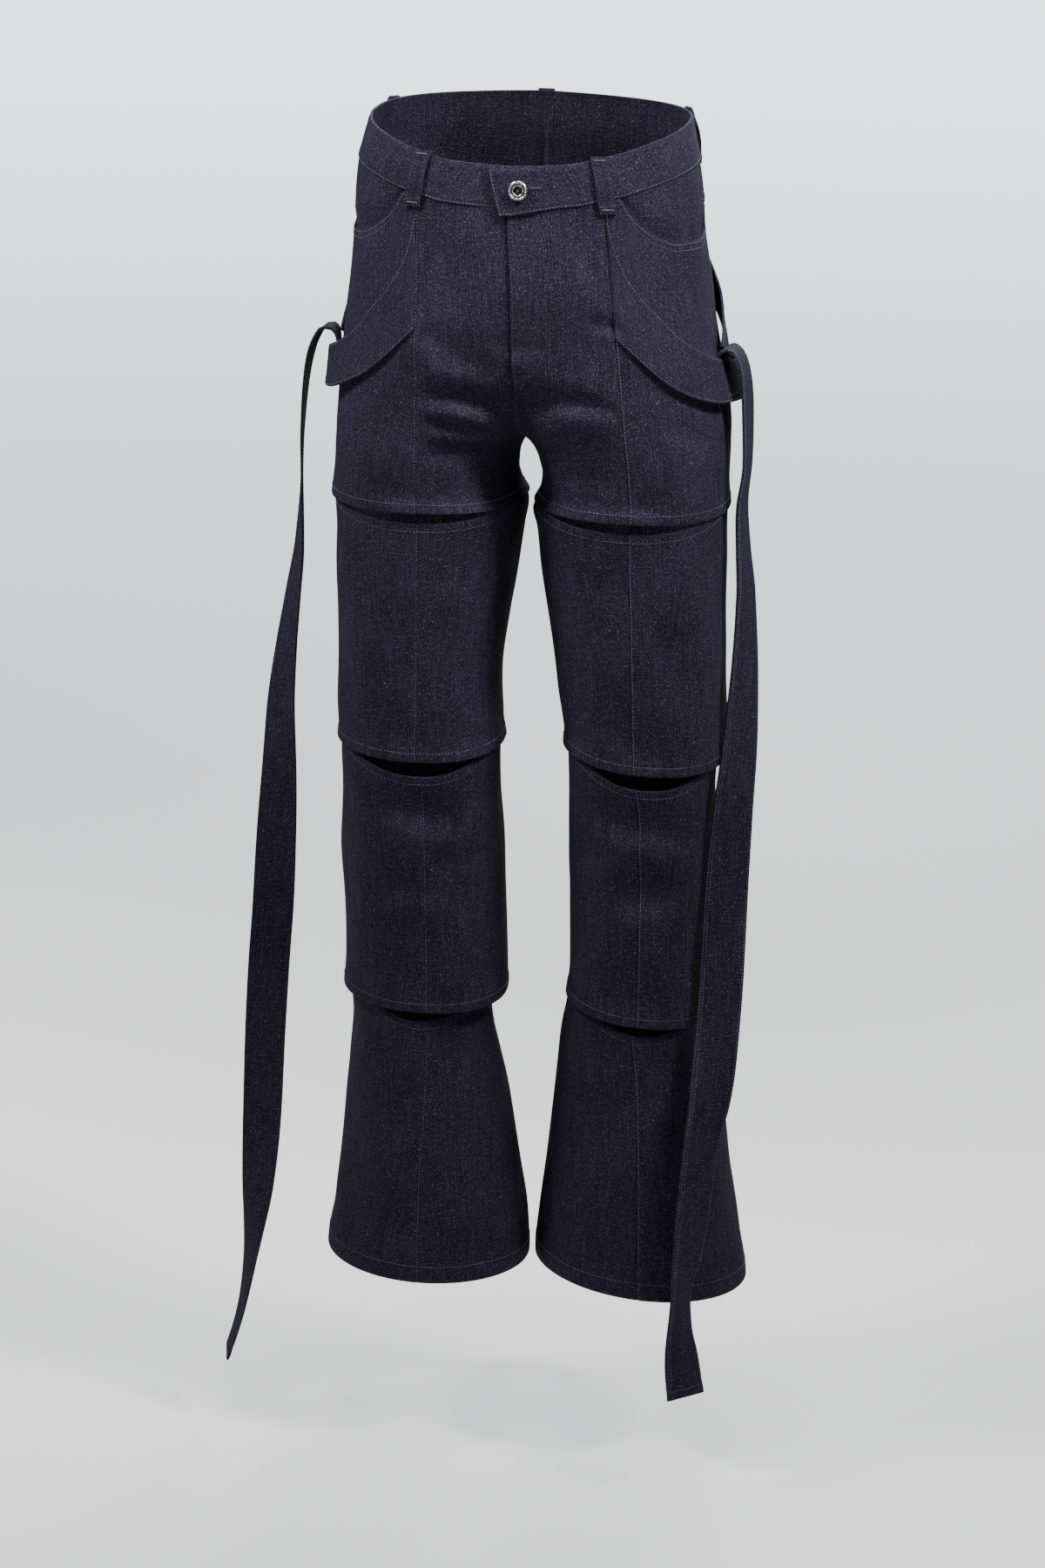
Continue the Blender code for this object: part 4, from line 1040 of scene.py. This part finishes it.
backStrap = {
    "width": 0.036, "columns": ("turnA", "zA", "turnB", "zB", "lift"),
    "rows": (
        (226, -98, 243, -106, 2.6), (219.7, -104, 234.5, -124, 2.9), (211.7, -116.5, 226.3, -138.5, 3.4),
        (203.7, -132.5, 218.3, -154.5, 4.4), (196, -150, 211, -171, 5.6), (189.3, -169, 204.7, -188, 7.4),
        (183.3, -189, 199, -206, 7.4), (178.5, -206.5, 193.8, -222.5, 6),
    ),
}


def makeBackStrap(side):
    table = tableOf(backStrap["columns"], backStrap["rows"], ("turnA", "turnB"))
    known = np.arange(len(backStrap["rows"]))
    index = np.linspace(0, known[-1], 36)
    read = {name: smooth(known, table[name], index)[:, None] for name in backStrap["columns"]}
    across = stepsOf(backStrap["width"])
    turn = read["turnA"] + (read["turnB"] - read["turnA"]) * across
    z = read["zA"] + (read["zB"] - read["zA"]) * across
    grid = lifted(side, "top", turn, z, np.broadcast_to(read["lift"], z.shape))
    makeCloth(
        "back_strap_" + side, grid, normalAt(side, "top", turn, z), {"left": "edge", "right": "edge"},
        cloth["wall"], doubled=True,
    )


# x, y, z of each strap's middle and the turn of its width, from the loop at the wing down to its end
tails = {
    "width": 0.04, "thick": 0.0018, "hem": 0.009, "step": 0.004,
    "left": (
        (176.4, -8, -228, 82), (176, -8, -215, 82), (177.2, -8, -207.5, 84), (183, -9, -203.5, 87),
        (189, -9, -206.5, 88), (193.8, -10, -214, 87), (197.2, -10, -226, 86), (199.6, -11, -242, 85),
        (201.2, -12, -262, 85), (202.6, -14, -305, 86), (199.5, -16, -345, 82), (202.5, -19, -385, 78),
        (206.5, -22, -425, 72), (208.5, -30, -500, 60), (207.5, -38, -560, 47), (204, -45, -625, 32),
        (201.5, -53, -700, 12), (201.3, -62, -770, 3), (199.5, -71, -835, 4), (196.5, -79, -885, 26),
        (190.5, -87, -930, 43), (187, -96, -985, 46), (183, -104, -1035, 56), (179, -110, -1072, 72),
        (179.5, -114, -1100, 66), (183, -118, -1130, 50), (188, -122, -1162, 42),
    ),
    "right": (
        (174, -8, -228, 82), (173.7, -8, -215, 82), (175, -8, -206, 84), (180.5, -9, -200.5, 87),
        (187, -9, -201, 88), (193, -10, -209, 87), (198.5, -10, -223, 86), (202, -11, -242, 84),
        (204.5, -12, -270, 82), (206, -13, -310, 80), (205.8, -14, -350, 78), (207, -15, -400, 70),
        (212.5, -16, -450, 60), (218, -17, -500, 50), (222.5, -18, -560, 38), (223.5, -19, -620, 26),
        (225.5, -20, -680, 14), (227.5, -21, -740, 6), (231.5, -22, -810, 4), (234.5, -22, -880, 8),
        (236.5, -22, -950, 16), (240, -23, -1020, 32), (244, -24, -1070, 52), (247, -25, -1100, 62),
        (253, -26, -1140, 70), (260, -27, -1170, 74), (268, -28, -1195, 76),
    ),
}


def makeTail(side):
    rows = np.array(tails[side]) / (1000, 1000, 1000, 1)
    run = lengthAlong(rows[:, :3])
    at = np.linspace(0, run[-1], int(run[-1] / tails["step"]))
    soft = np.stack([smooth(run, rows[:, k], at) for k in range(4)], axis=1)
    sign = sideSign[side]
    middle = soft[:, :3] * (sign, 1, 1)
    turn = np.radians(soft[:, 3])
    across = np.stack([sign * np.cos(turn), np.sin(turn), np.zeros(len(turn))], axis=1)
    along = unit(np.gradient(middle, axis=0))
    across = unit(across - along * np.sum(across * along, axis=1, keepdims=True))
    out = unit(np.cross(along, across))
    columns = stepsOf(tails["width"])
    grid = bandGrid(middle, across, out, tails["width"], tails["thick"], columns)
    # a shallow cup and slow ripples, as pressed strap has
    place = (columns - 0.5)[None, :] * 2
    ripple = 0.0006 * np.sin(at / 0.047)[:, None] * place
    ripple = ripple + 0.0005 * np.sin(at / 0.031 + 1.1)[:, None] * (1 - place**2)
    edges = {"left": "edge", "right": "edge", "bottom": ("hem", tails["hem"])}
    makeCloth(
        "strap_tail_" + side, grid, out[:, None], edges, tails["thick"], ripple,
        doubled=True,
    )


for side in sideSign:
    makeWing(side)
    makeWingReturn(side)
    makeBackStrap(side)
    makeTail(side)
print("wings and straps made")

# ---- sewing ----
def surfaceLine(side, turn, z, lift):
    turn, z = np.asarray(turn, float), np.asarray(z, float)
    return lifted(side, "top", turn, z, np.full(len(turn), lift)), normalAt(side, "top", turn, z)


def sewSide(side):
    # the row beside the front seam lies on the panel to the wearer's left of it, on both legs
    seamPlace = "left" if side == "left" else "right"
    group = "topstitch_body_" + side
    sew(group, lineOn("front_side_left" if side == "left" else "front_centre_right", seamPlace, seamRow))
    sew(group, lineOn("front_side_" + side, "top", edgeRow))
    for node in ("front_centre_", "front_side_", "seat_"):
        sew(group, lineOn(node + side, "bottom", hemWidth["top"] - hemInset))
    for offset in (edgeRow, felledRow):
        sew(group, lineOn("yoke_" + side, "bottom", offset))
    turns = np.linspace(127, 179.5, 60)
    sew(group, surfaceLine(side, turns, pocketEdge(side, turns) - pocket["secondRow"], 0.0))
    for place in ("top", "bottom", "right"):
        sew("topstitch_wing_" + side, lineOn("wing_" + side, place, edgeRow))
    for place in ("left", "right"):
        sew("topstitch_wing_" + side, lineOn("back_strap_" + side, place, edgeRow))
    for place, offset, skip in (
        ("left", 0.0016, 0.003), ("left", 0.0042, 0.003), ("right", 0.0016, 0.003), ("bottom", 0.008, 0),
    ):
        sew("topstitch_strap_" + side, lineOn("strap_tail_" + side, place, offset, skip))
    for block in tubeOrder[1:]:
        group = "topstitch_" + block + "_" + side
        seamed = "_front_outer_left" if side == "left" else "_front_inner_right"
        sew(group, lineOn(block + seamed, seamPlace, seamRow))
        for part in ("_front_inner_", "_front_outer_"):
            sew(group, lineOn(block + part + side, "top", slitRow))
        for part in ("_front_inner_", "_front_outer_", "_back_"):
            sew(group, lineOn(block + part + side, "bottom", hemWidth[block] - hemInset))


def sewFront():
    for place in ("bottom", "left"):
        sew("topstitch_waist", lineOn("waistband", place, seamRow))
    # the fly's curved row, and the row along the edge that laps over
    zs = np.linspace(-0.084, -0.196, 60)
    down = turnAt("left", "top", zs, readTable(torsoTable, "middle", zs) + fly["jWidth"])
    turn = np.concatenate([down, fly["jTurn"][-2::-1]])
    z = np.concatenate([zs, fly["jZ"][-2::-1]])
    share, at = np.linspace(0, 1, 200), np.linspace(0, 1, len(turn))
    sew("tonalstitch_fly", surfaceLine("left", np.interp(share, at, turn), np.interp(share, at, z), 0.0))
    sew("tonalstitch_fly", lineOn("front_centre_left", "left", edgeRow))
    # a small bar tack on the wearer's left thigh
    points, outs = surfaceLine("left", np.linspace(164.6, 166.4, 6), np.linspace(-0.2525, -0.2598, 6), 0.0002)
    for k in range(5):
        way = (0, 0.0016 * (-1) ** k, 0)
        pair = np.array([points[k] + way, points[k + 1] - way])
        sew("topstitch_body_left", (pair, outs[k:k + 2]), 0.0026, 0.0025, 0.0003)


for side in sideSign:
    sewSide(side)
sewFront()
for group in sorted(stitchRuns):
    makeStitches(group, darkThread if group.startswith("tonal") else stitchThread)
print("sewing made,", sum(len(run[0]) for runs in stitchRuns.values() for run in runs), "stitches")

# ---- button and buttonhole ----
button = {
    "place": (0.0044, -0.0612), "stand": 0.0008, "steps": 64, "merge": 0.00002,
    # radius and height of the stamped cap, from the rim in to the middle
    "cap": (
        (0.0, 0.0), (0.0078, 0.0), (0.0088, 0.0005), (0.009, 0.0013), (0.0087, 0.0023), (0.0079, 0.0031),
        (0.0071, 0.0033), (0.0064, 0.003), (0.0061, 0.0024), (0.0059, 0.0019),
    ),
    "groove": ((0.0062, 0.0021), (0.006, 0.0012), (0.0052, 0.0012)),
    "ring": (
        (0.0054, 0.0011), (0.0053, 0.002), (0.0049, 0.0024),
        (0.0044, 0.0024), (0.0039, 0.002), (0.0037, 0.001),
    ),
    "dish": ((0.0038, 0.001), (0.0032, 0.0006), (0.002, 0.0005), (0.0, 0.0005)),
    "dot": ((0.001, 0.0005), (0.0009, 0.0009), (0.0006, 0.0011), (0.0, 0.0012)),
}


def spun(name, profile, steps, merge, place=Matrix()):
    # a turned form from the radius and height of each point of its profile
    shape = bmesh.new()
    points = [shape.verts.new((r, 0, h)) for r, h in profile]
    edges = [shape.edges.new(pair) for pair in zip(points, points[1:])]
    bmesh.ops.spin(shape, geom=points + edges, axis=(0, 0, 1), cent=(0, 0, 0), steps=steps, angle=2 * math.pi)
    bmesh.ops.remove_doubles(shape, verts=shape.verts, dist=merge)
    bmesh.ops.recalc_face_normals(shape, faces=shape.faces)
    shape.transform(place)
    mesh = bpy.data.meshes.new(name)
    shape.to_mesh(mesh)
    shape.free()
    mesh.shade_smooth()
    return mesh


def makeButton():
    x, z = button["place"]
    z = np.array(z)
    turn = turnAt("left", "top", z, x)
    lift = smooth(waistband["lapAngle"], waistband["lapOut"], turn - 90) + button["stand"]
    foot = lifted("left", "top", turn, z, lift, False)
    out = Vector(normalAt("left", "top", turn, z, False).tolist())
    place = Matrix.Translation(foot.tolist()) @ out.to_track_quat("Z", "Y").to_matrix().to_4x4()
    for part, metal in (
        ("cap", nickel), ("groove", gunmetal), ("ring", nickel), ("dish", gunmetal), ("dot", nickel),
    ):
        mesh = spun("button_" + part, button[part], button["steps"], button["merge"], place)
        mesh.materials.append(metal)
        mesh.set_sharp_from_angle(angle=math.radians(50))
        made = addObject("button_" + part, mesh)
        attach(made, "root")
        if part == "cap":
            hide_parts("button")


buttonhole = {
    "x": 0.0142, "z": -0.059, "long": 0.011, "slant": 0.0008, "points": 60, "lift": 0.00012,
    "inner": 0.0001, "outer": 0.0008, "radius": 0.00028,
}


def makeButtonhole():
    # a slit edged with close satin stitches, from the button towards the wearer's left
    hole = buttonhole
    run = np.linspace(0, 1, hole["points"])
    z = hole["z"] + hole["slant"] * run
    turn = turnAt("left", "top", z, hole["x"] + hole["long"] * run)
    lift = smooth(waistband["lapAngle"], waistband["lapOut"], turn - 90) + hole["lift"]
    middle, out = lifted("left", "top", turn, z, lift, False), normalAt("left", "top", turn, z, False)
    beside = unit(np.cross(unit(np.gradient(middle, axis=0)), out))
    # every second point has a stitch to each side
    middle, out, beside = (np.repeat(rows[::2], 2, axis=0) for rows in (middle, out, beside))
    beside = beside * np.tile([[-1], [1]], (len(middle) // 2, 1))
    start, end = middle + beside * hole["inner"], middle + beside * hole["outer"]
    stitchRuns["buttonhole"] = [(start, end, out, np.full(len(start), hole["radius"]))]
    makeStitches("buttonhole", holeThread)


makeButton()
makeButtonhole()
print("button made")

# ---- floor, backdrop and lights ----
studio = {
    "floorZ": -1.262, "flat": 4.6, "bend": 3.6, "high": 7.0, "floor": "#f1f0ee", "air": "#dfe1e6",
    # how bright the ground looks to the eye near the object, how much brighter farther out and up the
    # wall, the brightness that falls on the cloth, and the same of the air outside
    "near": 1.0, "rises": (("away", 0.8, 2.6, 0.25), ("away", 2.6, 4.8, 0.5), ("height", 0.0, 0.8, 1.5)),
    "ambient": 0.03, "airLight": 0.1, "airSeen": 0.95,
}


def makeStudio():
    # a pale floor that turns up into a wall all round, so every side is seen against the same ground
    floorZ, flat, bend = studio["floorZ"], studio["flat"], studio["bend"]
    rows = [(r, floorZ) for r in np.linspace(0.0, flat, 12)]
    for a in np.linspace(0, math.pi / 2, 25)[1:]:
        rows.append((flat + bend * math.sin(a), floorZ + bend * (1 - math.cos(a))))
    rows.append((flat + bend, floorZ + studio["high"]))
    mesh = spun("studioBowl", rows, 96, 0.0001)
    bowl = addObject("studioBowl", mesh)
    made, tree, shader = newMaterial("mattStudioPaint", Roughness=0.7)
    shader.inputs["Base Color"].default_value = toLinear(studio["floor"])
    shader.inputs["Emission Color"].default_value = toLinear(studio["air"])
    place = addNode(tree, "ShaderNodeTexCoord").outputs["Object"]
    measures = {
        "away": vectorMath(tree, "LENGTH", "Value", vectorMath(tree, "MULTIPLY", "Vector", place, (1, 1, 0))),
        "height": addNode(tree, "ShaderNodeSeparateXYZ", {"Vector": place}).outputs["Z"],
    }
    glow = studio["near"]
    for measure, low, high, most in studio["rises"]:
        start = floorZ if measure == "height" else 0.0
        rise = shareOf(tree, measures[measure], start + low, start + high, 0.0, most)
        glow = maths(tree, "ADD", rise, glow)
    # the glow is for the eye only; the cloth gets just a little even light from the walls
    seen = addNode(tree, "ShaderNodeLightPath").outputs["Is Camera Ray"]
    glow = maths(tree, "SUBTRACT", glow, studio["ambient"])
    strength = maths(tree, "MULTIPLY_ADD", glow, seen, studio["ambient"])
    tree.links.new(strength, shader.inputs["Emission Strength"])
    made.cycles.emission_sampling = "NONE"
    mesh.materials.append(made)


lights = (
    # name, place, point it looks at, size in metres, spread in degrees, watts
    ("keyLeft", (-2.0, -1.0, 2.5), (0, 0, 0.22), 0.8, 34, 7.2),
    ("keyRight", (2.2, -0.9, 2.5), (0, 0, 0.22), 0.8, 34, 9.4),
    ("front", (0.5, -3.2, 0.3), (0, 0, -0.15), 1.2, 50, 0.18),
    ("frontLow", (-0.2, -3.2, -0.1), (0, 0, -0.27), 0.4, 17, 0.2),
    ("overhead", (0.1, -0.5, 2.2), (0, -0.1, 0.0), 1.0, 60, 3.4),
    ("backFill", (0.4, 2.6, 1.7), (0, 0, 0.0), 1.2, 60, 9.0),
    ("floorLeft", (-2.2, -0.2, 0.0), (-1.6, 0.2, -1.26), 1.0, 90, 3),
    ("floorRight", (2.2, -0.2, 0.0), (1.6, 0.2, -1.26), 1.0, 90, 3),
    ("floorBack", (0.0, 2.4, 1.4), (0.0, 2.4, -1.26), 1.6, 90, 8),
)


def makeLights():
    for name, place, aim, size, spread, watts in lights:
        data = bpy.data.lights.new(name, "AREA")
        data.shape = "DISK"
        data.size = size
        data.energy = watts
        data.spread = math.radians(spread)
        lamp = bpy.data.objects.new(name, data)
        lamp.location = place
        lamp.visible_camera = False
        lamp.rotation_euler = (Vector(aim) - Vector(place)).to_track_quat("-Z", "Y").to_euler()
        bpy.context.scene.collection.objects.link(lamp)
    # the air looks pale all round, but gives only a little light
    world = bpy.data.worlds.new("studioAir")
    world.use_nodes = True
    shader = world.node_tree.nodes["Background"]
    shader.inputs["Color"].default_value = toLinear(studio["air"])
    seen = addNode(world.node_tree, "ShaderNodeLightPath").outputs["Is Camera Ray"]
    strength = shareOf(world.node_tree, seen, 0.0, 1.0, studio["airLight"], studio["airSeen"])
    world.node_tree.links.new(strength, shader.inputs["Strength"])
    bpy.context.scene.world = world


makeStudio()
makeLights()
print("studio made")
